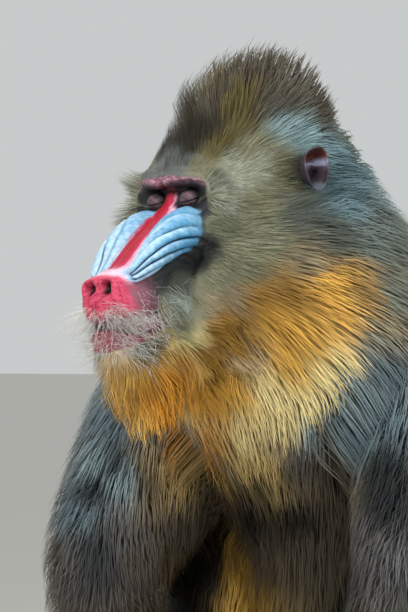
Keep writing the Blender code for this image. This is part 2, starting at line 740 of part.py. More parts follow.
def floor_cut(obj):
    """Everything under floor level is cut away, which leaves small flats."""
    shell = bmesh.new()
    shell.from_mesh(obj.data)
    every = list(shell.verts) + list(shell.edges) + list(shell.faces)
    down = (0, 0, -1)
    cut = bmesh.ops.bisect_plane(shell, geom=every, plane_co=(0, 0, 0), plane_no=down, clear_outer=True)
    rim = [e for e in cut["geom_cut"] if isinstance(e, bmesh.types.BMEdge)]
    bmesh.ops.contextual_create(shell, geom=rim)
    bmesh.ops.triangulate(shell, faces=shell.faces)
    shell.to_mesh(obj.data)
    shell.free()


# Eyes and ears

def swollen(obj, amount):
    """A copy of obj with its surface moved out by amount."""
    made = obj.copy()
    made.data = obj.data.copy()
    bpy.context.scene.collection.objects.link(made)
    set_coordinates(made, coordinates(made) + normals(made) * amount)
    return made


def eye(side, head):
    """A closed eye: a ball under its lids, cut to what shows in front of the socket."""
    body = bmesh.new()
    bmesh.ops.create_uvsphere(body, u_segments=20, v_segments=12, radius=EYE_RADIUS)
    mesh = bpy.data.meshes.new("eye")
    body.to_mesh(mesh)
    body.free()
    ball = bpy.data.objects.new("eye", mesh)
    bpy.context.scene.collection.objects.link(ball)
    points = coordinates(ball)
    points *= (1.12, 1, 0.86)
    points += mirrored(EYE_CENTRE, side)
    set_coordinates(ball, points)
    ball.data.transform(head_matrix())
    return largest(boolean(ball, swollen(head, JOINT_GAP), "DIFFERENCE", "MANIFOLD"))


# An ear from the middle of its dish out over the rim and back to its root: share of the outline, lift.
EAR_PROFILE = (
    (0.01, 0.0000),
    (0.35, 0.0012),
    (0.65, 0.0045),
    (0.88, 0.0095),
    (1.00, 0.0125),
    (1.03, 0.0105),
    (0.94, 0.0045),
    (0.80, -0.0015),
    (0.68, -0.0080),
    (0.60, -0.0180),
)


def ear(side, head):
    """A cupped ear: a dished oval with a thick rim on a stalk, cut where it meets the head."""
    angle = np.linspace(0, 2 * math.pi, EAR_SIDES, endpoint=False)
    outline = 1 + 0.10 * np.cos(angle - math.radians(62)) ** 3
    rings = []
    for share, lift in EAR_PROFILE:
        across = EAR_WIDTH / 2 * share * outline * np.cos(angle)
        high = EAR_HEIGHT / 2 * share * outline * np.sin(angle)
        rings.append(np.stack([across, np.full_like(angle, lift), high], -1))
    obj = closed_rings("ear", np.array(rings))
    points = coordinates(obj)
    # The dish opens to the side and a little forward.
    turn = np.array(Matrix.Rotation(-math.pi / 2 - EAR_TURN, 3, "Z"))
    points = (points @ turn.T) * (side, 1, 1) + mirrored(EAR_ROOT, side)
    set_coordinates(obj, points)
    obj.data.transform(head_matrix())
    faced_out(obj)
    return largest(boolean(obj, swollen(head, JOINT_GAP), "DIFFERENCE", "MANIFOLD"))


# Locks

def lock(root, normal, tip, width, bow, fat=0.0):
    """A flat lock that tapers from its sunk root to the tip and bows away from the body."""
    run = tip - root
    across = normal.cross(run).normalized()
    centres = [root - normal * LOCK_SINK]
    for share in (0.32, 0.68):
        centres.append(root + run * share + normal * bow * 4 * share * (1 - share))
    rings = []
    for i, (centre, size) in enumerate(zip(centres, (0.80, 1.0, 0.66))):
        ahead = (centres + [tip])[i + 1] - centre
        up = ahead.cross(across).normalized()
        wide = across * (width * size / 2 + fat)
        thick = up * (width * LOCK_THICKNESS * size / 2 + fat)
        rings.append([centre + wide, centre + thick, centre - wide, centre - thick])
    points = [p for ring in rings for p in ring] + [tip + run.normalized() * fat * 2]
    faces = [(0, 1, 2, 3)]
    for i in (0, 4):
        for j in range(4):
            k = (j + 1) % 4
            faces.append((i + j, i + 4 + j, i + 4 + k, i + k))
    faces += [(8 + j, 12, 8 + (j + 1) % 4) for j in range(4)]
    return points, faces


def spread_roots(obj, spacing, draw):
    """Points set evenly over obj, each with the way out of the surface there."""
    obj.data.calc_loop_triangles()
    corners = coordinates(obj)[np.array([t.vertices for t in obj.data.loop_triangles])]
    side_a = corners[:, 1] - corners[:, 0]
    side_b = corners[:, 2] - corners[:, 0]
    outward = np.cross(side_a, side_b)
    area = np.linalg.norm(outward, axis=1)
    tries = 30000
    face = draw.choice(len(area), tries, p=area / area.sum())
    u, v = draw.random(tries), draw.random(tries)
    folded = u + v > 1
    u[folded], v[folded] = 1 - u[folded], 1 - v[folded]
    spots = corners[face, 0] + side_a[face] * u[:, None] + side_b[face] * v[:, None]
    kept = []
    taken = np.zeros((0, 3))
    for spot, i in zip(spots, face):
        if len(taken) and ((taken - spot) ** 2).sum(1).min() < spacing(spot) ** 2:
            continue
        taken = np.vstack([taken, spot])
        kept.append((Vector(spot), Vector(outward[i] / area[i])))
    return kept


def head_guide(spot):
    """Way, length and width of the locks at a point on the head, in its own frame, or None on bare skin."""
    x, y, z = spot
    side = 1 if x > 0 else -1
    if (Vector((abs(x), y, z)) - Vector(EAR_ROOT)).length < EAR_HEIGHT * 0.55:
        return None
    back = min(max((y - 0.012) / 0.09, 0), 1)
    if z > 0.034 and y > 0.008:
        way = Vector((-side * min(abs(x) * 9, 0.5), 0.30 + 0.45 * back, 1.0 - 0.15 * back))
        return way, 0.030 + 0.026 * back, CREST_SPACING
    if abs(x) > 0.046 and y > 0.016 and z > -0.11:
        return Vector((side * 0.30, 0.85, -0.35 + z * 4)), 0.032 + 0.022 * back, CHEEK_SPACING
    if abs(x) > 0.030 and y > 0.030:
        return Vector((side * 0.25, 0.50, -0.85)), 0.036, CHEEK_SPACING
    return None


def mane_guide(spot):
    """Way, length and width of the locks round the neck and over the shoulders and chest."""
    x, y, _ = spot
    round_neck = math.atan2(abs(x), -(y + 0.17))
    front = max(math.cos(round_neck), 0)
    back = max(-math.cos(round_neck), 0)
    flank = math.sin(round_neck)
    side = 1 if x > 0 else -1
    down = -1.0 * front - 0.90 * flank - 0.60 * back
    return Vector((side * 0.20 * flank, -0.12 * front + 0.40 * flank + 0.85 * back, down)), 0.066, 0.032


def beard_guide(spot):
    if spot[2] > -0.128:
        return None
    return Vector((spot[0] * 4, 0.05, -1.0)), 0.056, 0.020


def arm_guide(spot):
    if spot[2] < 0.30:
        return None
    side = 1 if spot[0] > 0 else -1
    return Vector((side * 0.10, 0.10, -1.0)), 0.052, 0.030


def guide(name, spot):
    """The lock's way in the world, its length and its width at a point of that node."""
    turn = head_matrix()
    local = turn.inverted() @ spot
    if name == "lower_jaw":
        found = beard_guide(local)
    elif name == "head" and local.y < HEAD_HAIR_BACK:
        found = head_guide(local)
    elif name.startswith("upper_arm"):
        return arm_guide(spot)
    else:
        return mane_guide(spot)
    if found is None:
        return None
    way, length, width = found
    return turn.to_3x3() @ way, length, width


def spacing_of(name):
    """A function that gives how far apart the locks' roots are at a point of that node."""
    turn = head_matrix().inverted()

    def spacing(spot):
        if name == "lower_jaw":
            return BEARD_SPACING
        if name == "neck":
            return RUFF_SPACING
        if name != "head":
            return MANE_SPACING
        return CREST_SPACING if (turn @ Vector(spot)).z > 0.034 else CHEEK_SPACING

    return spacing


def tree_of(obj):
    return BVHTree.FromObject(obj, bpy.context.evaluated_depsgraph_get())


def lock_shape(root, normal, found, gap, outline, share, lift, draw):
    """The root, normal, tip, width and bow of a lock that lies along its way and ends at the outline."""
    way, length, width = found
    way = way.normalized()
    way = (way + normal * (lift - min(way.dot(normal), 0))).normalized()
    reach = length * share * draw.uniform(0.9, 1.1)
    tip = outline.find_nearest(root + way * reach + normal * gap)[0]
    run = tip - root
    if run.length > LONGEST_LOCK * length or run.length < length * share / LONGEST_LOCK:
        return None
    bow = 0.10 * run.length * (1 - abs(run.normalized().dot(normal)))
    return root, normal, tip, width * (0.75 + 0.25 * share) * draw.uniform(0.9, 1.1), bow


def with_locks(name, nodes, outline, draw):
    """The node with its locks fused in. Each is clear of every other node and ends where the coat does."""
    obj = nodes[name]
    bpy.context.view_layer.update()
    others = [tree_of(other) for key, other in nodes.items() if key != name]
    group = bpy.data.collections.new("locks")
    bpy.context.scene.collection.children.link(group)
    for root, normal in spread_roots(obj, spacing_of(name), draw):
        found = guide(name, root)
        gap = outline.find_nearest(root)[3]
        if found is None or gap < LEAST_COAT:
            continue
        for share, lift in LOCK_TRIES:
            shape = lock_shape(root, normal, found, gap, outline, share, lift, draw)
            if shape is None:
                continue
            test = BVHTree.FromPolygons(*lock(*shape, LOCK_CLEARANCE))
            if not any(test.overlap(other) for other in others):
                piece = mesh_object("lock", *lock(*shape))
                bpy.context.scene.collection.objects.unlink(piece)
                group.objects.link(piece)
                break
    print(name, len(group.objects), "locks")
    made = largest(boolean(obj, group, "UNION"))
    bpy.data.collections.remove(group)
    return made


# Finish

COLOURS = {
    "head": ("#6b6447", 0.85),
    "lower_jaw": ("#c79a4a", 0.85),
    "neck": ("#c08a35", 0.85),
    "chest": ("#6d6a63", 0.88),
    "hips": ("#7b7a80", 0.88),
    "tail": ("#6a6660", 0.88),
    "ear": ("#a9767c", 0.70),
    "eye": ("#5b4550", 0.60),
    "upper_arm": ("#585c60", 0.88),
    "forearm": ("#5f5b50", 0.88),
    "hand": ("#37322f", 0.70),
    "thigh": ("#62605c", 0.88),
    "shin": ("#5b5850", 0.88),
    "foot": ("#37322f", 0.70),
}


def linear(value):
    return value / 12.92 if value <= 0.04045 else ((value + 0.055) / 1.055) ** 2.4


def finish(obj, name):
    """Names the node, gives it its own material and lays its faces flat-shaded in triangles."""
    obj.name = name
    obj.data.name = name
    kind = name.removesuffix("_left").removesuffix("_right")
    hexed, rough = COLOURS[kind]
    material = bpy.data.materials.new(name)
    material.use_nodes = True
    shader = material.node_tree.nodes["Principled BSDF"]
    colour = [linear(int(hexed[i : i + 2], 16) / 255) for i in (1, 3, 5)]
    shader.inputs["Base Color"].default_value = (*colour, 1)
    shader.inputs["Roughness"].default_value = rough
    shader.inputs["Metallic"].default_value = 0
    obj.data.materials.clear()
    obj.data.materials.append(material)


def whole_body(share):
    """The whole animal in one piece, with that share of the long coat."""
    trunk = thinned(trunk_shape(share), BODY_FACES)
    head = thinned(sculpt_head(head_shape(share)), HEAD_FACES)
    head.data.transform(head_matrix())
    return boolean(trunk, head, "UNION")


def main():
    for obj in list(bpy.data.objects):
        bpy.data.objects.remove(obj)
    full = whole_body(share=1)
    bpy.context.view_layer.update()
    outline = tree_of(full)
    bpy.data.objects.remove(full)
    whole = whole_body(CORE_SHARE)
    for side in (1, -1):
        whole = boolean(whole, paw("hand", side, WRIST, HAND_TURN, *HAND), "UNION")
        whole = boolean(whole, paw("foot", side, ANKLE, FOOT_TURN, *FOOT), "UNION")
    nodes = parted(largest(whole))
    for side, word in ((1, "left"), (-1, "right")):
        nodes["eye_" + word] = eye(side, nodes["head"])
        nodes["ear_" + word] = ear(side, nodes["head"])
    draw = np.random.default_rng(LOCK_SEED)
    for name in LOCKED_NODES:
        nodes[name] = with_locks(name, nodes, outline, draw)
    for name, obj in nodes.items():
        floor_cut(obj)
        finish(largest(obj), name)


main()
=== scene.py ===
import math

import bmesh
import bpy
import numpy as np
from mathutils import Matrix, Vector
from mathutils.bvhtree import BVHTree
from mathutils.kdtree import KDTree


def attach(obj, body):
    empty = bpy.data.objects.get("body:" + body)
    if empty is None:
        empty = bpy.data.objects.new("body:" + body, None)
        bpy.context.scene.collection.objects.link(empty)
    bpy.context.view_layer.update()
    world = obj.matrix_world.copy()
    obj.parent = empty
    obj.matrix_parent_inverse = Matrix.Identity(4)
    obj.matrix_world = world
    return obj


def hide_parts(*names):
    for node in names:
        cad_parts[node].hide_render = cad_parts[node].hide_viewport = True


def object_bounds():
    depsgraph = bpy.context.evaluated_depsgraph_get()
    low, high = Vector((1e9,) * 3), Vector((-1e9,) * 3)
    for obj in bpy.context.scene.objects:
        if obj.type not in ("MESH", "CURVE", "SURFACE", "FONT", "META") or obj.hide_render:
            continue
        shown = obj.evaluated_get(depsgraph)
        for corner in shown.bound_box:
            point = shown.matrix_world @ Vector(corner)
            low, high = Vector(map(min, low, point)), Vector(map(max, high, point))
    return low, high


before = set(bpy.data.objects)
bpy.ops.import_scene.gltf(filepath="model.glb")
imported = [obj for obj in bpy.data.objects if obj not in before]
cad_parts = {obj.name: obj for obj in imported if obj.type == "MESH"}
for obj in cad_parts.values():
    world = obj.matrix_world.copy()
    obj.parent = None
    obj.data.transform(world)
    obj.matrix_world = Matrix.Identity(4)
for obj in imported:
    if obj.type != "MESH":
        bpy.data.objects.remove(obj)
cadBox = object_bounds()
draw = np.random.default_rng(11)
print("frame loaded")


# Small helpers

def linear(hexColour):
    # sRGB hex to linear: the curve of the standard, channel by channel
    value = np.array([int(hexColour[i : i + 2], 16) for i in (1, 3, 5)]) / 255
    return np.where(value <= 0.04045, value / 12.92, ((value + 0.055) / 1.055) ** 2.4)


def unit(vectors):
    return vectors / np.maximum(np.linalg.norm(vectors, axis=-1, keepdims=True), 1e-9)


def smoothStep(low, high, value):
    # 0 below low, 1 above high, with a cubic ease between
    share = np.clip((value - low) / (high - low), 0, 1)
    return share * share * (3 - 2 * share)


def mix(first, second, share):
    share = np.asarray(share)[..., None]
    return first * (1 - share) + second * share


def meshOf(name, points, triangles, smooth=True):
    mesh = bpy.data.meshes.new(name)
    mesh.vertices.add(len(points))
    mesh.vertices.foreach_set("co", np.ascontiguousarray(points, np.float32).ravel())
    mesh.loops.add(triangles.size)
    mesh.loops.foreach_set("vertex_index", np.ascontiguousarray(triangles, np.int32).ravel())
    mesh.polygons.add(len(triangles))
    mesh.polygons.foreach_set("loop_start", np.arange(0, triangles.size, 3, dtype=np.int32))
    mesh.polygons.foreach_set("use_smooth", np.full(len(triangles), smooth))
    mesh.update(calc_edges=True)
    obj = bpy.data.objects.new(name, mesh)
    bpy.context.scene.collection.objects.link(obj)
    return obj


def gridTriangles(rows, columns, closed=True):
    # two triangles for each cell of a rows x columns grid, which closes on itself along the columns
    i, j = np.meshgrid(np.arange(rows - 1), np.arange(columns if closed else columns - 1), indexing="ij")
    k = (j + 1) % columns
    a, b, c, d = i * columns + j, i * columns + k, (i + 1) * columns + k, (i + 1) * columns + j
    return np.concatenate([np.stack([a, b, c], -1).reshape(-1, 3), np.stack([a, c, d], -1).reshape(-1, 3)])


def ringSurface(name, rings):
    # a skin over a stack of rings, closed by a fan at each end
    count, sides, _ = rings.shape
    points = np.vstack([rings.reshape(-1, 3), rings[0].mean(0), rings[-1].mean(0)])
    j = np.arange(sides)
    k = (j + 1) % sides
    first = np.stack([np.full(sides, count * sides), k, j], -1)
    last = np.stack([np.full(sides, count * sides + 1), (count - 1) * sides + j, (count - 1) * sides + k], -1)
    return meshOf(name, points, np.concatenate([gridTriangles(count, sides), first, last]))


def smoothRows(rows, steps):
    # Catmull-Rom curves through the rows of a table, with that many steps to each span
    rows = np.asarray(rows, float)
    ends = np.vstack([2 * rows[0] - rows[1], rows, 2 * rows[-1] - rows[-2]])
    a, b, c, d = ends[:-3, None], ends[1:-2, None], ends[2:-1, None], ends[3:, None]
    t = np.linspace(0, 1, steps, endpoint=False)[None, :, None]
    spans = 0.5 * (2 * b + (c - a) * t + (2 * a - 5 * b + 4 * c - d) * t**2 + (3 * b - 3 * c + d - a) * t**3)
    return np.vstack([spans.reshape(-1, rows.shape[1]), rows[-1:]])


def tube(rows, sides=24, steps=4, power=2.0, level=False):
    # a profile carried along a path: each row has its centre, half width, and depth to the back and front;
    # power above 2 squares the profile off
    rows = smoothRows(rows, steps)
    centre = rows[:, :3]
    along = unit(np.gradient(centre, axis=0))
    if level:
        along[:] = (0, 0, 1)
    across = unit(np.array((1.0, 0.0, 0.0)) - along * along[:, :1])
    back = np.cross(along, across)
    angle = np.linspace(0, 2 * math.pi, sides, endpoint=False)
    wide = np.sign(np.cos(angle)) * np.abs(np.cos(angle)) ** (2 / power)
    deep = np.sign(np.sin(angle)) * np.abs(np.sin(angle)) ** (2 / power)
    depth = np.where(deep > 0, rows[:, 4:5], rows[:, 5:6]) * deep
    width = rows[:, 3:4] * wide
    rings = centre[:, None] + across[:, None] * width[..., None] + back[:, None] * depth[..., None]
    return ringSurface("form", rings)


def roundTube(points, radii, sides=16, steps=4):
    # a round tube with domed ends, through points with a radius at each
    rows = [(*p, r, r, r) for p, r in zip(points, radii)]
    caps = []
    for here, inward in ((0, 1), (-1, -2)):
        p, q = np.array(points[here], float), np.array(points[inward], float)
        r = radii[here]
        out = unit(p - q)
        caps.append([(*(p + out * r * 0.55), *[r * 0.8] * 3), (*(p + out * r * 0.92), *[r * 0.3] * 3)])
    return tube([caps[0][1], caps[0][0], *rows, *caps[1]], sides, steps)


def mirrored(point, side):
    return (point[0] * side, point[1], point[2])


def between(a, b, share):
    return tuple(np.array(a) * (1 - share) + np.array(b) * share)


def pointsOf(obj):
    points = np.empty(len(obj.data.vertices) * 3, np.float32)
    obj.data.vertices.foreach_get("co", points)
    return points.reshape(-1, 3).astype(float)


def movePoints(obj, points):
    obj.data.vertices.foreach_set("co", np.ascontiguousarray(points, np.float32).ravel())
    obj.data.update()


def normalsOf(obj):
    values = np.empty(len(obj.data.vertices) * 3, np.float32)
    obj.data.vertex_normals.foreach_get("vector", values)
    return values.reshape(-1, 3).astype(float)


def settled(obj):
    # the object with its modifiers applied
    mesh = bpy.data.meshes.new_from_object(obj.evaluated_get(bpy.context.evaluated_depsgraph_get()))
    obj.modifiers.clear()
    old = obj.data
    obj.data = mesh
    bpy.data.meshes.remove(old)
    return obj


def facesOut(obj, weld=0):
    # all faces turned outward, after points nearer to each other than weld are joined
    mesh = bmesh.new()
    mesh.from_mesh(obj.data)
    if weld:
        bmesh.ops.remove_doubles(mesh, verts=mesh.verts, dist=weld)
    bmesh.ops.recalc_face_normals(mesh, faces=mesh.faces)
    mesh.to_mesh(obj.data)
    mesh.free()


def melted(name, pieces, voxel, rounds):
    # overlapping forms melted into one closed skin by a voxel remesh, with the joins eased
    body = bmesh.new()
    for piece in pieces:
        body.from_mesh(piece.data)
        bpy.data.objects.remove(piece)
    mesh = bpy.data.meshes.new(name)
    body.to_mesh(mesh)
    body.free()
    obj = bpy.data.objects.new(name, mesh)
    bpy.context.scene.collection.objects.link(obj)
    remesh = obj.modifiers.new("melt", "REMESH")
    remesh.mode = "VOXEL"
    remesh.voxel_size = voxel
    ease = obj.modifiers.new("ease", "SMOOTH")
    ease.factor = 0.5
    ease.iterations = rounds
    return settled(obj)


def united(obj, other):
    union = obj.modifiers.new("union", "BOOLEAN")
    union.operation = "UNION"
    union.solver = "MANIFOLD"
    union.object = other
    settled(obj)
    bpy.data.objects.remove(other)
    return obj


def paint(obj, name, values):
    layer = obj.data.attributes.new(name, "FLOAT_COLOR" if values.ndim == 2 else "FLOAT", "POINT")
    if values.ndim == 2:
        full = np.ones((len(values), 4), np.float32)
        full[:, :3] = values
        layer.data.foreach_set("color", full.ravel())
    else:
        layer.data.foreach_set("value", values.astype(np.float32))


def treeOf(obj):
    bpy.context.view_layer.update()
    return BVHTree.FromObject(obj, bpy.context.evaluated_depsgraph_get())


def dressed(obj, material, slot, *nodes):
    # gives a finished piece its material, its body and the solids it stands for
    obj.data.materials.clear()
    obj.data.materials.append(material)
    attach(obj, "root")
    if nodes:
        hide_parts(*nodes)
    return obj


def addNode(tree, kind, settings=None, links=None):
    # one node with its settings, its fixed socket values, by name or number, and its links
    node = tree.nodes.new(kind)
    for key, value in (settings or {}).items():
        if isinstance(key, int) or key in node.inputs:
            node.inputs[key].default_value = value
        else:
            setattr(node, key, value)
    for key, source in (links or {}).items():
        tree.links.new(source, node.inputs[key])
    return node


def newMaterial(name):
    material = bpy.data.materials.new(name)
    material.use_nodes = True
    tree = material.node_tree
    return material, tree, tree.nodes["Principled BSDF"]


# Pose of the animal: the same places as in the solids, in metres

pose = {
    "bridge": (-0.037, -0.334, 0.600),
    "yaw": math.radians(-18.7),
    "pitch": math.radians(6.6),
    "roll": math.radians(-3.0),
    "shoulder": (0.140, -0.124, 0.434),
    "elbow": (0.166, -0.244, 0.270),
    "wrist": (0.132, -0.290, 0.050),
    "hip": (0.085, 0.000, 0.100),
    "knee": (0.235, -0.145, 0.165),
    "ankle": (0.232, -0.272, 0.050),
    "handTurn": math.radians(-4),
    "footTurn": math.radians(-13),
    "coreShare": 0.45,  # how much of the long coat's depth the skin keeps
    "floorGap": 0.0006,
}
headPlace = Matrix.Translation(pose["bridge"]) @ Matrix.Rotation(pose["yaw"], 4, "Z")
headPlace = headPlace @ Matrix.Rotation(pose["pitch"], 4, "X") @ Matrix.Rotation(pose["roll"], 4, "Y")
headTurn = np.array(headPlace.to_3x3())
headOrigin = np.array(headPlace.translation)


def toHead(points):
    return (points - headOrigin) @ headTurn


def toWorld(points):
    return points @ headTurn.T + headOrigin


# Body: half widths and depths out to the tips of the coat, with the depth of the coat in the last column

body = {
    "trunk": (
        (0, 0.012, -0.020, 0.040, 0.035, 0.035, 0.000),
        (0, 0.013, 0.004, 0.092, 0.078, 0.070, 0.003),
        (0, 0.018, 0.060, 0.124, 0.106, 0.110, 0.010),
        (0, 0.022, 0.170, 0.146, 0.116, 0.150, 0.022),
        (0, 0.004, 0.280, 0.152, 0.118, 0.160, 0.028),
        (0, -0.038, 0.380, 0.150, 0.118, 0.152, 0.032),
        (0, -0.090, 0.452, 0.126, 0.100, 0.118, 0.030),
        (0, -0.150, 0.502, 0.098, 0.078, 0.090, 0.024),
        (-0.004, -0.205, 0.540, 0.076, 0.064, 0.074, 0.016),
        (-0.010, -0.255, 0.566, 0.058, 0.050, 0.060, 0.008),
    ),
    "mane": (
        (0, -0.028, 0.260, 0.100, 0.050, 0.165, 0.045),
        (0, -0.042, 0.330, 0.132, 0.105, 0.194, 0.056),
        (-0.002, -0.075, 0.395, 0.150, 0.150, 0.214, 0.064),
        (-0.004, -0.112, 0.450, 0.162, 0.172, 0.220, 0.070),
        (-0.004, -0.148, 0.500, 0.156, 0.158, 0.196, 0.070),
        (-0.002, -0.174, 0.545, 0.134, 0.122, 0.136, 0.068),
        (0, -0.190, 0.585, 0.106, 0.090, 0.088, 0.062),
        (0.002, -0.196, 0.627, 0.078, 0.070, 0.045, 0.050),
        (0.003, -0.201, 0.660, 0.052, 0.048, 0.020, 0.035),
        (0.004, -0.206, 0.680, 0.026, 0.026, 0.010, 0.015),
    ),
    "upperArm": ((0.090, 0.083, 0.064), (0.028, 0.026, 0.020)),
    "forearm": ((0.057, 0.055, 0.033, 0.022), (0.018, 0.016, 0.008, 0.002)),
    "thigh": ((0.092, 0.080, 0.058), (0.022, 0.018, 0.014)),
    "shin": ((0.055, 0.051, 0.032, 0.024), (0.014, 0.012, 0.006, 0.002)),
    "tail": ((0, 0.100, 0.128), (0, 0.152, 0.148), (0, 0.182, 0.182), (0, 0.190, 0.212)),
    "tailRadii": ((0.024, 0.022, 0.018, 0.014), (0.004, 0.006, 0.006, 0.005)),
    "flank": (
        (0.100, -0.075, 0.335, 0.030, 0.035, 0.035, 0.010),
        (0.108, -0.098, 0.295, 0.048, 0.055, 0.052, 0.012),
        (0.115, -0.108, 0.245, 0.064, 0.062, 0.066, 0.014),
        (0.127, -0.104, 0.195, 0.064, 0.060, 0.064, 0.014),
        (0.135, -0.090, 0.145, 0.046, 0.048, 0.048, 0.012),
    ),
    "pad": ((0.040, 0.030, 0.018), (0.046, 0.070, 0.030)),
    "padRadii": (0.030, 0.026),
}


def coated(table, share):
    # the rows of a table less the part of the coat that share leaves out
    rows = np.array(table, float)
    rows[:, 3:6] = np.maximum(rows[:, 3:6] - (1 - share) * rows[:, 6:7], 0.006)
    return rows[:, :6]


def bodyForms(share, shortShare):
    # trunk, mane, limbs, sitting pads, folds of the flank and tail; share and shortShare are how much of
    # the long and of the short coat they hold
    def less(radii):
        return [r - (1 - shortShare) * coat for r, coat in zip(*radii)]

    forms = [tube(coated(body["trunk"], shortShare), 32, power=2.2)]
    forms.append(tube(coated(body["mane"], share), 32, power=2.1, level=True))
    forms.append(roundTube(body["tail"], less(body["tailRadii"])))
    for side in (1, -1):
        shoulder, elbow, wrist = (mirrored(pose[k], side) for k in ("shoulder", "elbow", "wrist"))
        hip, knee, ankle = (mirrored(pose[k], side) for k in ("hip", "knee", "ankle"))
        flank = coated(body["flank"], shortShare)
        flank[:, 0] *= side
        palm = between(wrist, (wrist[0], wrist[1] - 0.03, 0.022), 0.9)
        sole = between(ankle, (ankle[0], ankle[1] - 0.03, 0.024), 0.9)
        forms += [
            roundTube([shoulder, between(shoulder, elbow, 0.5), elbow], less(body["upperArm"])),
            roundTube([elbow, between(elbow, wrist, 0.4), wrist, palm], less(body["forearm"])),
            roundTube([hip, between(hip, knee, 0.5), knee], less(body["thigh"])),
            roundTube([knee, between(knee, ankle, 0.4), ankle, sole], less(body["shin"])),
            roundTube([mirrored(p, side) for p in body["pad"]], body["padRadii"]),
            tube(flank, level=True),
        ]
    return forms


# Hands and feet: palm length and half width, each digit's place, length and thickness, the thumb, the height

paws = {
    "hand": {
        "palm": (0.066, 0.033),
        "digits": (
            (0.0255, 0.052, 0.0080),
            (0.0085, 0.062, 0.0085),
            (-0.0085, 0.058, 0.0085),
            (-0.0255, 0.044, 0.0075),
        ),
        "thumb": (-0.034, -0.020, 0.030, 0.0085),
        "height": 0.026,
    },
    "foot": {
        "palm": (0.122, 0.034),
        "digits": (
            (0.0265, 0.045, 0.0080),
            (0.0090, 0.057, 0.0085),
            (-0.0090, 0.057, 0.0088),
            (-0.0265, 0.049, 0.0088),
        ),
        "thumb": (-0.036, -0.066, 0.042, 0.0105),
        "height": 0.028,
    },
}
digitTips = []  # each: the tip, the way the digit points and its thickness, for the nails


def pawForms(kind, side):
    parts = paws[kind]
    wrist = pose["wrist" if kind == "hand" else "ankle"]
    turn = pose[kind + "Turn"]
    length, half = parts["palm"]
    height = parts["height"]
    place = Matrix.Translation((wrist[0] * side, wrist[1], 0)) @ Matrix.Rotation(turn * -side, 4, "Z")

    def at(x, y, z):
        return tuple(place @ Vector((x * side, y, z)))

    forms = [
        tube(
            [
                (*at(0, 0.014, wrist[2] * 0.92), 0.023, 0.018, 0.018),
                (*at(0, -0.004, height * 1.25), half * 0.82, 0.020, 0.020),
                (*at(0, -length * 0.5, height * 0.80), half * 0.98, height * 0.72, height * 0.8),
                (*at(0, -length, height * 0.55), half * 0.95, height * 0.5, height * 0.55),
                (*at(0, -length * 1.08, height * 0.50), half * 0.60, height * 0.30, height * 0.4),
            ],
            20,
        )
    ]
    for x, reach, thick in parts["digits"]:
        base = at(x, -length * 0.78, height * 0.52)
        knuckle = at(x * 1.16, -length - reach * 0.48, height * 0.62)
        tip = at(x * 1.26, -length - reach, thick * 0.82)
        forms.append(roundTube([base, knuckle, tip], (thick * 1.05, thick * 0.98, thick * 0.82), 12))
        digitTips.append((np.array(tip), unit(np.array(tip) - np.array(knuckle)), thick))
    x, y, reach, thick = parts["thumb"]
    base, knuckle = at(x * 0.4, y + 0.012, height * 0.6), at(x, y - reach * 0.3, height * 0.5)
    tip = at(x * 1.30, y - reach, thick * 0.80)
    forms.append(roundTube([base, knuckle, tip], (thick * 1.2, thick * 1.05, thick * 0.8), 12))
    digitTips.append((np.array(tip), unit(np.array(tip) - np.array(knuckle)), thick))
    return forms


# Head, in its own frame: origin on the bridge of the nose, x to its left, y to its back, z up

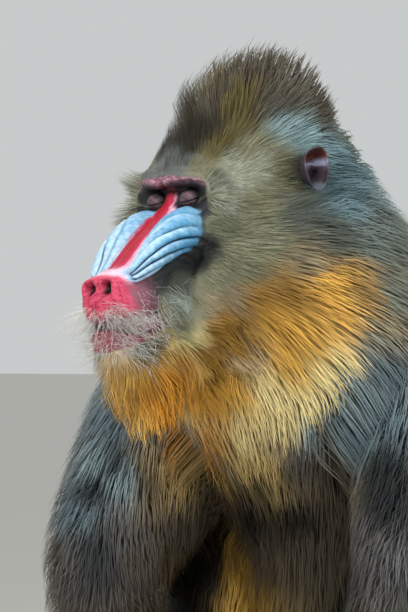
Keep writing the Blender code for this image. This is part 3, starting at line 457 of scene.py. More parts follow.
head = {
    "skull": (
        (0.130, -0.004, -0.034, 0.020),
        (0.120, 0.026, -0.060, 0.044),
        (0.092, 0.045, -0.086, 0.060),
        (0.056, 0.051, -0.098, 0.065),
        (0.024, 0.049, -0.100, 0.063),
        (0.004, 0.042, -0.090, 0.056),
        (-0.006, 0.032, -0.076, 0.045),
        (-0.012, 0.022, -0.058, 0.030),
    ),
    "snout": (
        (0.024, -0.014, -0.108, 0.042),
        (0.004, -0.015, -0.110, 0.042),
        (-0.020, -0.0270, -0.110, 0.037),
        (-0.042, -0.0440, -0.110, 0.035),
        (-0.062, -0.0590, -0.108, 0.033),
        (-0.076, -0.0670, -0.106, 0.031),
        (-0.087, -0.073, -0.105, 0.026),
        (-0.0945, -0.083, -0.104, 0.018),
        (-0.0985, -0.089, -0.101, 0.009),
    ),
    "jaw": (
        (0.070, -0.060, -0.108, 0.046),
        (0.040, -0.076, -0.126, 0.050),
        (0.000, -0.092, -0.138, 0.046),
        (-0.040, -0.098, -0.141, 0.039),
        (-0.072, -0.098, -0.139, 0.032),
        (-0.084, -0.098, -0.134, 0.025),
        (-0.0925, -0.101, -0.125, 0.014),
    ),
    "brow": (
        (-0.042, 0.014, 0.011),
        (-0.023, 0.001, 0.0165),
        (0, -0.003, 0.0155),
        (0.023, 0.001, 0.0165),
        (0.042, 0.014, 0.011),
    ),
    "browRadii": (0.0090, 0.0095, 0.0090, 0.0095, 0.0090),
    "ridge": (
        (0, 0.0070, -0.0010),
        (0, 0.0042, -0.0095),
        (0, -0.0066, -0.0208),
        (0, -0.0197, -0.0320),
        (0, -0.0344, -0.0435),
        (0, -0.0488, -0.0552),
        (0, -0.0631, -0.0648),
        (0, -0.0725, -0.0692),
    ),
    "ridgeRadii": (0.0085, 0.0090, 0.0100, 0.0115, 0.0125, 0.0125, 0.0120, 0.0110),
    "throat": ((0, -0.050, -0.112), (0, 0.000, -0.106), (0, 0.050, -0.090)),
    "throatRadii": (0.024, 0.038, 0.046),
    "cheekbone": ((0.036, 0.002, -0.030), (0.050, 0.030, -0.030), (0.055, 0.060, -0.026)),
    "cheekboneRadii": (0.012, 0.013, 0.010),
    "cheekFold": ((0.037, -0.014, -0.078), (0.040, -0.014, -0.100), (0.039, -0.022, -0.122)),
    "cheekFoldRadii": (0.009, 0.0115, 0.010),
    "nose": (
        (0, -0.052, -0.062, 0.014, 0.012, 0.014),
        (0, -0.066, -0.069, 0.0235, 0.0145, 0.019),
        (0, -0.0765, -0.0750, 0.0290, 0.0170, 0.020),
        (0, -0.0840, -0.0770, 0.0280, 0.0165, 0.018),
        (0, -0.0900, -0.0785, 0.0200, 0.012, 0.014),
    ),
    "swelling": (
        (0.0270, 0.004, -0.0260, 0.0140, 0.0155, 0.0170),
        (0.0290, -0.010, -0.0290, 0.0185, 0.0185, 0.0185),
        (0.0305, -0.028, -0.0370, 0.0180, 0.0170, 0.0145),
        (0.0310, -0.044, -0.0460, 0.0160, 0.0135, 0.0120),
        (0.0290, -0.058, -0.0560, 0.0130, 0.0100, 0.0090),
        (0.0240, -0.072, -0.0655, 0.0085, 0.0065, 0.0060),
    ),
    "crest": (
        (0.184, 0.050, 0.006, 0.020, 0.032),
        (0.172, 0.086, -0.030, 0.044, 0.050),
        (0.150, 0.114, -0.040, 0.062, 0.072),
        (0.118, 0.128, -0.040, 0.068, 0.078),
        (0.078, 0.114, -0.040, 0.068, 0.064),
        (0.044, 0.088, -0.030, 0.058, 0.040),
        (0.022, 0.064, -0.012, 0.046, 0.024),
        (0.008, 0.045, 0.004, 0.032, 0.010),
        (-0.001, 0.033, 0.014, 0.016, 0.003),
    ),
    "whiskers": (
        (0.032, 0.172, -0.056, 0.034, 0.045, 0.056, 0.034),
        (0.046, 0.142, -0.062, 0.054, 0.062, 0.084, 0.038),
        (0.052, 0.100, -0.066, 0.052, 0.064, 0.094, 0.036),
        (0.054, 0.060, -0.066, 0.041, 0.064, 0.090, 0.026),
        (0.054, 0.028, -0.068, 0.028, 0.054, 0.078, 0.014),
        (0.050, 0.004, -0.082, 0.016, 0.032, 0.056, 0.006),
        (0.044, -0.016, -0.096, 0.008, 0.014, 0.028, 0.000),
    ),
    "beard": (
        (0, -0.064, -0.226, 0.005, 0.006, 0.005),
        (0, -0.058, -0.210, 0.024, 0.026, 0.018),
        (0, -0.054, -0.186, 0.042, 0.045, 0.034),
        (0, -0.056, -0.158, 0.050, 0.055, 0.044),
        (0, -0.056, -0.134, 0.046, 0.055, 0.044),
        (0, -0.052, -0.118, 0.036, 0.045, 0.036),
    ),
    "chin": (0, -0.056, -0.118),
    "temple": (0.053, 0.014, -0.006),
    "templeSize": (0.019, 0.020, 0.033),
    "beardCore": 0.55,  # size of the beard's core under its hair
}


def sections(table, power):
    # upright sections of the head: y, top, bottom and half width
    rows = [(0, y, (top + low) / 2, half, (top - low) / 2, (top - low) / 2) for y, top, low, half in table]
    return tube(rows, 32, 3, power)


def temple(side, share):
    # an egg beside the eye, where the hair flares out; the core of it is smaller and set further in
    x, y, z = head["temple"]
    wide, deep, high = (size * (0.62 + 0.38 * (share == 1)) for size in head["templeSize"])
    x = (x - 0.005 * (share != 1)) * side
    rise = np.linspace(-1.45, 1.45, 9)
    rows = []
    for angle in rise:
        radii = (size * math.cos(angle) for size in (wide, deep, deep))
        rows.append((x, y, z + high * math.sin(angle), *radii))
    return tube(rows, 24, 2, level=True)


def headForms(share):
    crest = [
        (y, top - (1 - share) * coat, low, half - (1 - share) * coat * 0.2)
        for y, top, low, half, coat in head["crest"]
    ]
    beard = np.array(head["beard"])
    size = 1 if share == 1 else head["beardCore"]
    beard[:, :3] = (beard[:, :3] - head["chin"]) * size + head["chin"]
    beard[:, 3:] *= size
    forms = [
        sections(head["skull"], 2.2),
        sections(head["snout"], 2.7),
        sections(head["jaw"], 2.4),
        sections(crest, 1.45),
        roundTube(head["brow"], head["browRadii"]),
        roundTube(head["ridge"], head["ridgeRadii"]),
        roundTube(head["throat"], head["throatRadii"]),
        tube(head["nose"], power=2.3),
        tube(beard),
    ]
    for side in (1, -1):
        whiskers = coated(head["whiskers"], share)
        whiskers[:, 0] *= side
        forms.append(tube(whiskers))
        forms.append(roundTube([mirrored(p, side) for p in head["cheekbone"]], head["cheekboneRadii"]))
        forms.append(roundTube([mirrored(p, side) for p in head["cheekFold"]], head["cheekFoldRadii"]))
        forms.append(temple(side, share))
        forms.append(tube([(side * x, *rest) for x, *rest in head["swelling"]], power=2.3))
    return forms


# Face: the grooves of the swellings, the nostrils, the lips and the sockets, pressed into the melted head

face = {
    # angle round the swelling of each groove, lowest first, at these shares of the way along it
    "stations": (0.10, 0.25, 0.40, 0.55, 0.70, 0.85, 1.00),
    "grooves": (
        (-1.25, -1.28, -1.30, -1.30, -1.00, -0.62, -0.38),
        (-1.00, -0.90, -0.72, -0.45, -0.10, 0.28, 0.45),
        (-0.60, -0.36, -0.05, 0.30, 0.59, 0.83, 0.84),
        (-0.15, 0.22, 0.56, 0.88, 1.29, 1.58, 1.68),
        (0.42, 0.97, 1.46, 1.79, 1.92, 2.05, 2.10),
    ),
    "strengths": (
        (0.0, 0.0, 0.3, 0.8, 1.0, 1.0, 0.8),
        (0.0, 0.7, 1.0, 1.0, 1.0, 1.0, 0.9),
        (0.9, 1.0, 1.0, 1.0, 1.0, 1.0, 0.9),
        (0.1, 0.4, 0.6, 0.8, 0.9, 0.8, 0.6),
        (0.3, 0.4, 0.3, 0.3, 0.4, 0.4, 0.3),
    ),
    "lowBorder": (-0.60, -1.00, -1.14, -1.16, -1.08, -0.98, -0.78),
    "grooveDepth": 0.0023,
    "blueFrom": 14.5,  # mm from the middle line
    "lipDepth": 0.0040,
    # places pressed on both sides: centre, reach and push of each, for the left side
    "presses": (
        ((0.0235, -0.006, -0.004), (0.0125, 0.016, 0.0095), (0, 0.0095, 0)),
        ((0.0190, -0.083, -0.072), (0.008, 0.010, 0.009), (0.003, -0.001, 0.001)),
        ((0.070, 0.100, 0.010), (0.030, 0.024, 0.026), (-0.007, 0, 0)),
        ((0.050, -0.030, -0.075), (0.018, 0.025, 0.020), (-0.004, 0, 0)),
        # wing of the nostril round the opening, then the opening itself
        ((0.0200, -0.0880, -0.0720), (0.0045, 0.0060, 0.0080), (0.0016, -0.0022, 0)),
        ((0.0118, -0.0900, -0.0650), (0.0070, 0.0060, 0.0030), (0, -0.0012, 0.0006)),
        ((0.0118, -0.0900, -0.0722), (0.0056, 0.0080, 0.0062), (0.0006, 0.0140, 0.0014)),
        # fold from the wing of the nose back under the swelling
        ((0.0340, -0.0640, -0.0720), (0.012, 0.020, 0.0045), (-0.0022, 0, 0)),
    ),
    # furrows in the middle of the nose and of the upper lip
    "furrows": (
        ((0, -0.0915, -0.0740), (0.0026, 0.008, 0.011), (0, 0.0018, 0)),
        ((0, -0.103, -0.094), (0.0022, 0.008, 0.008), (0, 0.0016, 0)),
    ),
    # the count of grooves and the gap in mm are stored divided by these
    "countScale": 8.0,
    "gapScale": 16.0,
}


def mouthLine(y):
    # height of the line between the lips: level in front, lower before the corner, which turns up
    places = (-0.104, -0.098, -0.090, -0.085, -0.069, -0.060, -0.048)
    return np.interp(y, places, (-0.1035, -0.1035, -0.1050, -0.1105, -0.1150, -0.1145, -0.1115))


def press(points, centre, reach, push):
    # moves points near centre, fading out with distance along each axis
    offset = (points - np.array(centre)) / np.array(reach)
    points += np.exp(-(offset**2).sum(1))[:, None] * np.array(push)


def swellingPlace(points):
    # for points of the head: angle round the swelling of their side, distance in half widths, share along it
    table = np.array(head["swelling"])[::-1]
    x, y, z = np.abs(points[:, 0]), points[:, 1], points[:, 2]
    cx, cz, wide, up, down = (np.interp(y, table[:, 1], table[:, i]) for i in (0, 2, 3, 4, 5))
    a = (x - cx) / wide
    b = (z - cz) / np.where(z > cz, up, down)
    along = (table[-1, 1] - y) / (table[-1, 1] - table[0, 1])
    return np.arctan2(b, a), np.hypot(a, b), along


def grooveLines(points):
    # for points of the head: the count of grooves below them as a smooth number, the gap between grooves in
    # mm, how strong the nearest groove is, how far the swelling's skin covers them, and their swelling place
    angle, radius, along = swellingPlace(points)
    angle = np.where(angle < -2.2, angle + 2 * math.pi, angle)
    lines = np.stack([np.interp(along, face["stations"], row) for row in face["grooves"]], 1)
    force = np.stack([np.interp(along, face["stations"], row) for row in face["strengths"]], 1)
    steps = np.clip((angle[:, None] - lines[:, :-1]) / (lines[:, 1:] - lines[:, :-1]), 0, 1)
    phase = steps.sum(1)
    phase = phase + np.minimum(angle - lines[:, 0], 0) / 0.45 + np.maximum(angle - lines[:, -1], 0) / 0.45
    phase = np.clip(phase, -0.5, 4.5)
    at = np.clip(phase, 0, 3.999)
    low = at.astype(int)
    share = at - low
    rows = np.arange(len(points))
    strength = force[rows, low] * (1 - share) + force[rows, low + 1] * share
    step = lines[rows, low + 1] - lines[rows, low]
    size = np.interp(points[:, 1], (-0.072, -0.058, -0.044, 0.0), (7.5, 11.5, 15.0, 18.0))
    spacing = np.clip(step * size * radius, 2.0, 14.0)
    inside = smoothStep(0.02, 0.12, along) * smoothStep(1.12, 1.02, along)
    inside = inside * smoothStep(0.40, 0.70, radius) * smoothStep(1.95, 1.75, radius) * (angle < 2.5)
    return phase, spacing, strength, inside, angle, radius, along


def blueSkin(points):
    # how far each point of the head lies on the blue skin of the swellings
    angle, radius, along = grooveLines(points)[4:]
    x, y, z = np.abs(points[:, 0]) * 1000, points[:, 1] * 1000, points[:, 2] * 1000
    low = np.interp(along, face["stations"], face["lowBorder"])
    back = np.interp(z, (-50, -43.5, -38, -30, -15, -8), (-17, -10.8, -7.6, -5.3, -3.4, -6))
    ragged = wobble(points, 0.006, 15)
    blue = smoothStep(-0.10, 0.06, angle - low) * smoothStep(1.5, -1.5, y - back + ragged * 0.6)
    blue = blue * smoothStep(1.12, 1.02, along + ragged * 0.01) * smoothStep(1.95, 1.80, radius)
    start = np.interp(y, (-80, -62, -46, -30, -10), (14, 17, 21, 19, 15))
    start = np.where(points[:, 0] > 0, start, face["blueFrom"])
    return blue * smoothStep(-1.8, 1.4, x - start + ragged * 0.6) * (angle < 2.6)


def sculptFace(obj):
    points = pointsOf(obj)
    for side in (1, -1):
        for centre, reach, push in face["presses"]:
            press(points, mirrored(centre, side), reach, mirrored(push, side))
    for centre, reach, push in face["furrows"]:
        press(points, centre, reach, push)
    normals = normalsOf(obj)
    phase, spacing, strength, inside, *_ = grooveLines(points)
    gap = np.abs(phase - np.round(np.clip(phase, 0, 4))) * spacing
    cut = np.exp(-((gap / 1.15) ** 2)) * strength * face["grooveDepth"]
    puff = smoothStep(0.4, 3.2, gap) * 0.0010
    points += normals * ((puff - cut) * inside)[:, None]
    gap = (points[:, 2] - mouthLine(points[:, 1])) / 0.0020
    front = 1 / (1 + np.exp((points[:, 1] + 0.044) / 0.003))
    outward = unit(points * (1, 1, 0) - np.array((0, -0.060, 0)))
    lips = 0.0012 * np.exp(-((np.abs(gap) - 2.6) ** 2) / 1.6) - face["lipDepth"] * np.exp(-(gap**2))
    points += outward * (lips * front)[:, None]
    movePoints(obj, points)


def finerFace(obj):
    # the bare face is split to a quarter of its faces' size, so that its folds are in the mesh
    mesh = bmesh.new()
    mesh.from_mesh(obj.data)
    near = [
        f for f in mesh.faces
        if f.calc_center_median().y < 0.016 and -0.135 < f.calc_center_median().z < 0.030
    ]
    edges = list({e for f in near for e in f.edges})
    bmesh.ops.subdivide_edges(mesh, edges=edges, cuts=1, use_grid_fill=True, smooth=0.0)
    bmesh.ops.triangulate(mesh, faces=[f for f in mesh.faces if len(f.verts) > 4])
    inner = [v for v in mesh.verts if v.co.y < 0.012]
    for _ in range(2):
        bmesh.ops.smooth_vert(
            mesh, verts=inner, factor=0.5, use_axis_x=True, use_axis_y=True, use_axis_z=True
        )
    mesh.to_mesh(obj.data)
    mesh.free()


# The coat: guide hairs, and places of colour

# each guide hair has its place in mm (h: head frame, b: body frame), the way it lies, its length in mm, its
# lift and its width in mm; from a lift of 0.75 up the hair hangs more and more free of the skin
guides = (
    ("h", 22, -8, 26, 0, 0.3, 1, 10, 0.4, 0.43),
    ("h", 42, 4, 22, 0.4, 0.4, 0.8, 11, 0.4, 0.43),
    ("h", 0, 4, 40, 0, 0.1, 1, 18, 0.5, 0.50),
    ("h", 12, 14, 54, -0.1, 0.0, 1, 27, 0.6, 0.6),
    ("h", 30, 16, 42, 0, 0.4, 1, 16, 0.4, 0.58),
    ("h", 0, 35, 70, 0, -0.05, 1, 42, 0.7, 0.72),
    ("h", 30, 50, 75, -0.1, 0.1, 1, 46, 0.7, 0.72),
    ("h", 0, 75, 90, 0, 0.35, 1, 60, 0.7, 0.86),
    ("h", 0, 110, 100, 0, 0.5, 1, 72, 0.7, 0.86),
    ("h", 32, 100, 90, -0.25, 0.5, 1, 66, 0.65, 0.86),
    ("h", 0, 150, 80, 0, 0.8, 0.8, 72, 0.6, 0.94),
    ("h", 47, 125, 70, -0.1, 0.8, 0.7, 60, 0.55, 0.94),
    ("h", 0, 180, 40, 0, 1, 0.1, 66, 0.5, 1.08),
    ("h", 52, 12, 16, 1, -0.35, 0.25, 32, 1.1, 0.43),
    ("h", 55, 22, 19, 0.7, 0.55, 0.25, 18, 0.6, 0.43),
    ("h", 60, 24, 0, 0.7, 0.6, 0, 18, 0.6, 0.43),
    ("h", 67, 95, 24, 0.75, 0.75, 0.05, 22, 1.0, 0.43),
    ("h", 68, 93, 4, 0.75, 0.75, -0.05, 20, 1.0, 0.43),
    ("h", 55, 40, 26, 0.2, 0.9, 0.3, 15, 0.3, 0.5),
    ("h", 62, 72, 22, 0.2, 1, 0.1, 24, 0.35, 0.58),
    ("h", 62, 62, -4, 0.3, 1, -0.1, 22, 0.35, 0.58),
    ("h", 58, 98, 44, 0.35, 0.8, 0.5, 40, 0.5, 0.65),
    ("h", 62, 130, 20, 0.2, 1, -0.2, 44, 0.4, 0.86),
    ("h", 55, 4, -14, 1, -0.35, -0.15, 30, 1.05, 0.43),
    ("h", 56, 2, -34, 0.85, 0.3, -0.3, 20, 0.8, 0.43),
    ("h", 68, 16, -36, 0.4, 1, -0.3, 15, 0.3, 0.5),
    ("h", 80, 38, -58, 0.35, 1, -0.35, 26, 0.35, 0.65),
    ("h", 82, 60, -30, 0.35, 1, -0.2, 32, 0.35, 0.65),
    ("h", 92, 95, -38, 0.3, 1, -0.3, 40, 0.35, 0.79),
    ("h", 90, 130, -40, 0.2, 1, -0.4, 48, 0.4, 0.94),
    ("h", 42, -14, -58, 0.6, 0.8, -0.3, 7, 0.3, 0.43),
    ("h", 40, -24, -76, 0.6, 0.3, -0.8, 13, 0.55, 0.43),
    ("h", 48, -8, -76, 0.6, 0.6, -0.6, 13, 0.45, 0.43),
    ("h", 40, -32, -96, 0.55, -0.1, -0.85, 20, 0.7, 0.43),
    ("h", 38, -20, -94, 0.7, 0.75, -0.2, 25, 0.95, 0.43),
    ("h", 42, -18, -110, 0.7, 0.7, -0.3, 27, 0.95, 0.43),
    ("h", 42, -26, -122, 0.6, 0.7, -0.4, 28, 0.95, 0.45),
    ("h", 54, -4, -96, 0.5, 0.6, -0.65, 24, 0.5, 0.5),
    ("h", 74, 20, -84, 0.3, 1, -0.5, 30, 0.4, 0.72),
    ("h", 92, 62, -84, 0.3, 1, -0.6, 42, 0.4, 0.94),
    ("h", 102, 108, -84, 0.25, 1, -0.7, 52, 0.45, 1.08),
    ("h", 40, -30, -116, 0.5, 0.35, -0.75, 24, 0.6, 0.5),
    ("h", 46, -10, -106, 0.6, 0.6, -0.6, 28, 0.8, 0.5),
    ("h", 36, -56, -120, 0.5, 0.2, -0.85, 13, 0.6, 0.43),
    ("h", 48, 0, -122, 0.35, 0.5, -0.85, 42, 1.0, 0.7),
    ("h", 40, -34, -136, 0.25, 0.1, -1, 44, 1.2, 0.7),
    ("h", 56, 30, -125, 0.2, 0.6, -0.9, 50, 0.45, 1.01),
    ("h", 88, 60, -130, 0.2, 0.7, -0.8, 58, 0.45, 1.08),
    ("h", 112, 102, -112, 0.2, 0.8, -0.8, 60, 0.45, 1.15),
    ("h", 124, 140, -110, 0.2, 0.8, -0.8, 62, 0.45, 1.22),
    ("h", 0, -98, -130, 0, -0.2, -1, 14, 0.5, 0.43),
    ("h", 26, -80, -131, 0.4, 0, -1, 18, 0.45, 0.5),
    ("h", 0, -92, -150, 0, -0.2, -1, 40, 0.4, 0.72),
    ("h", 0, -80, -180, 0, 0.1, -1, 56, 0.95, 0.8),
    ("h", 30, -60, -165, 0.25, 0.1, -1, 56, 0.9, 0.8),
    ("h", 0, 0, -130, 0, 0.1, -1, 62, 1.0, 0.9),
    ("b", 0, -300, 480, 0, -0.2, -1, 70, 0.4, 1.06),
    ("b", 0, -275, 420, 0, -0.1, -1, 72, 0.4, 1.12),
    ("b", 55, -260, 405, 0.1, -0.1, -1, 70, 0.4, 1.12),
    ("b", 98, -250, 440, 0.2, 0, -1, 66, 0.4, 1.12),
    ("b", 118, -222, 440, 0.2, 0, -1, 60, 0.4, 1.12),
    ("b", 0, -245, 375, 0, -0.1, -1, 64, 0.4, 1.12),
    ("b", 0, -230, 350, 0, -0.1, -1, 58, 0.4, 1.06),
    ("b", 0, -205, 320, 0, -0.15, -1, 58, 0.95, 1.0),
    ("b", -80, -235, 385, 0, -0.15, -1, 62, 0.8, 1.0),
    ("b", -30, -250, 380, 0, -0.15, -1, 62, 0.8, 1.0),
    ("b", 70, -225, 375, 0.1, 0, -1, 58, 0.35, 1.06),
    ("b", 0, -180, 280, 0, -0.15, -1, 62, 1.1, 1.0),
    ("b", 0, -110, 210, 0, -0.3, -1, 45, 0.4, 1.06),
    ("b", 70, -170, 280, 0.1, -0.1, -1, 62, 1.1, 1.0),
    ("b", 60, -60, 240, 0.1, 0, -1, 40, 0.3, 1.06),
    ("b", 112, -165, 260, 0.1, -0.1, -1, 48, 0.5, 1.0),
    ("b", 150, -125, 240, 0.2, -0.1, -1, 44, 0.5, 1.0),
    ("b", 125, -155, 205, 0.1, -0.1, -1, 36, 0.5, 1.0),
    ("b", 150, -190, 280, -0.1, 0.1, -1, 34, 0.4, 1.0),
    ("b", 135, -215, 180, -0.1, 0.1, -1, 24, 0.4, 0.8),
    ("b", 150, -150, 470, 0.3, 0.3, -0.9, 56, 0.3, 1.12),
    ("b", 200, -190, 380, 0.2, 0, -1, 48, 0.3, 1.12),
    ("b", 150, -270, 400, 0, -0.2, -1, 48, 0.3, 1.12),
    ("b", 215, -240, 280, 0.1, 0, -1, 34, 0.3, 0.99),
    ("b", 110, -220, 280, -0.1, 0, -1, 34, 0.3, 0.99),
    ("b", 185, -290, 160, 0, 0, -1, 20, 0.25, 0.79),
    ("b", 120, -260, 160, 0, 0, -1, 20, 0.25, 0.79),
    ("b", 132, -300, 60, 0, -0.6, -0.8, 10, 0.2, 0.66),
    ("b", 135, -370, 25, 0, -1, -0.2, 4, 0.2, 0.53),
    ("b", 0, -90, 590, 0, 0.9, -0.5, 62, 0.4, 1.12),
    ("b", 90, -110, 560, 0.3, 0.7, -0.7, 62, 0.4, 1.12),
    ("b", 0, 20, 520, 0, 0.7, -0.7, 58, 0.35, 1.12),
    ("b", 90, 30, 440, 0.2, 0.4, -0.9, 50, 0.3, 1.12),
    ("b", 0, 110, 360, 0, 0.3, -1, 44, 0.28, 1.12),
    ("b", 110, 80, 300, 0.1, 0.1, -1, 42, 0.28, 1.12),
    ("b", 0, 145, 230, 0, 0, -1, 30, 0.25, 0.99),
    ("b", 145, 0, 260, 0, 0, -1, 40, 0.28, 1.06),
    ("b", 100, 100, 140, 0.2, 0.1, -1, 16, 0.2, 0.86),
    ("b", 120, 40, 60, 0.1, 0, -1, 14, 0.2, 0.86),
    ("b", 200, -60, 130, 0.6, -0.6, -0.3, 26, 0.25, 0.99),
    ("b", 160, -80, 190, 0.6, -0.6, -0.1, 26, 0.25, 0.99),
    ("b", 240, -170, 200, 0.3, -0.8, -0.5, 18, 0.25, 0.92),
    ("b", 235, -220, 110, 0, -0.7, -0.7, 14, 0.22, 0.79),
    ("b", 232, -290, 50, 0, -1, -0.5, 8, 0.2, 0.66),
    ("b", 240, -380, 28, 0, -1, -0.2, 4, 0.2, 0.53),
    ("b", 0, 200, 200, 0, 0.3, 1, 12, 0.3, 0.79),
)

# colours of the hair in the light of the studio
dyes = {
    "crestTip": "#4d463a",
    "crestPale": "#6e6a5e",
    "crownGold": "#5b5027",
    "crownDark": "#201c0d",
    "foreheadGrey": "#666b69",
    "templePale": "#999c88",
    "templeOlive": "#7c7a5f",
    "cheekOlive": "#7e8067",
    "cheekShade": "#545a53",
    "orbitShade": "#141a1b",
    "tuftMist": "#90acb0",
    "napeSlate": "#708b92",
    "napeShade": "#707b73",
    "lockWhite": "#bcd2cb",
    "goldDull": "#95876a",
    "goldMid": "#a47930",
    "goldBright": "#e2aa48",
    "goldPale": "#f4ba4e",
    "cream": "#f2dc9c",
    "bibGold": "#ee9a24",
    "beardGold": "#efbb5c",
    "chinPale": "#f2d8b2",
    "strawPale": "#d2c88e",
    "edgeBrown": "#bfa468",
    "umberShade": "#4b4336",
    "nearBlack": "#14120f",
    "blueSlate": "#60727a",
    "paleSlate": "#80959b",
    "coldBlack": "#1f2427",
    "bellyStraw": "#cda14a",
    "backBrown": "#585040",
    "limbOlive": "#5d573f",
    "greyMauve": "#595859",
}
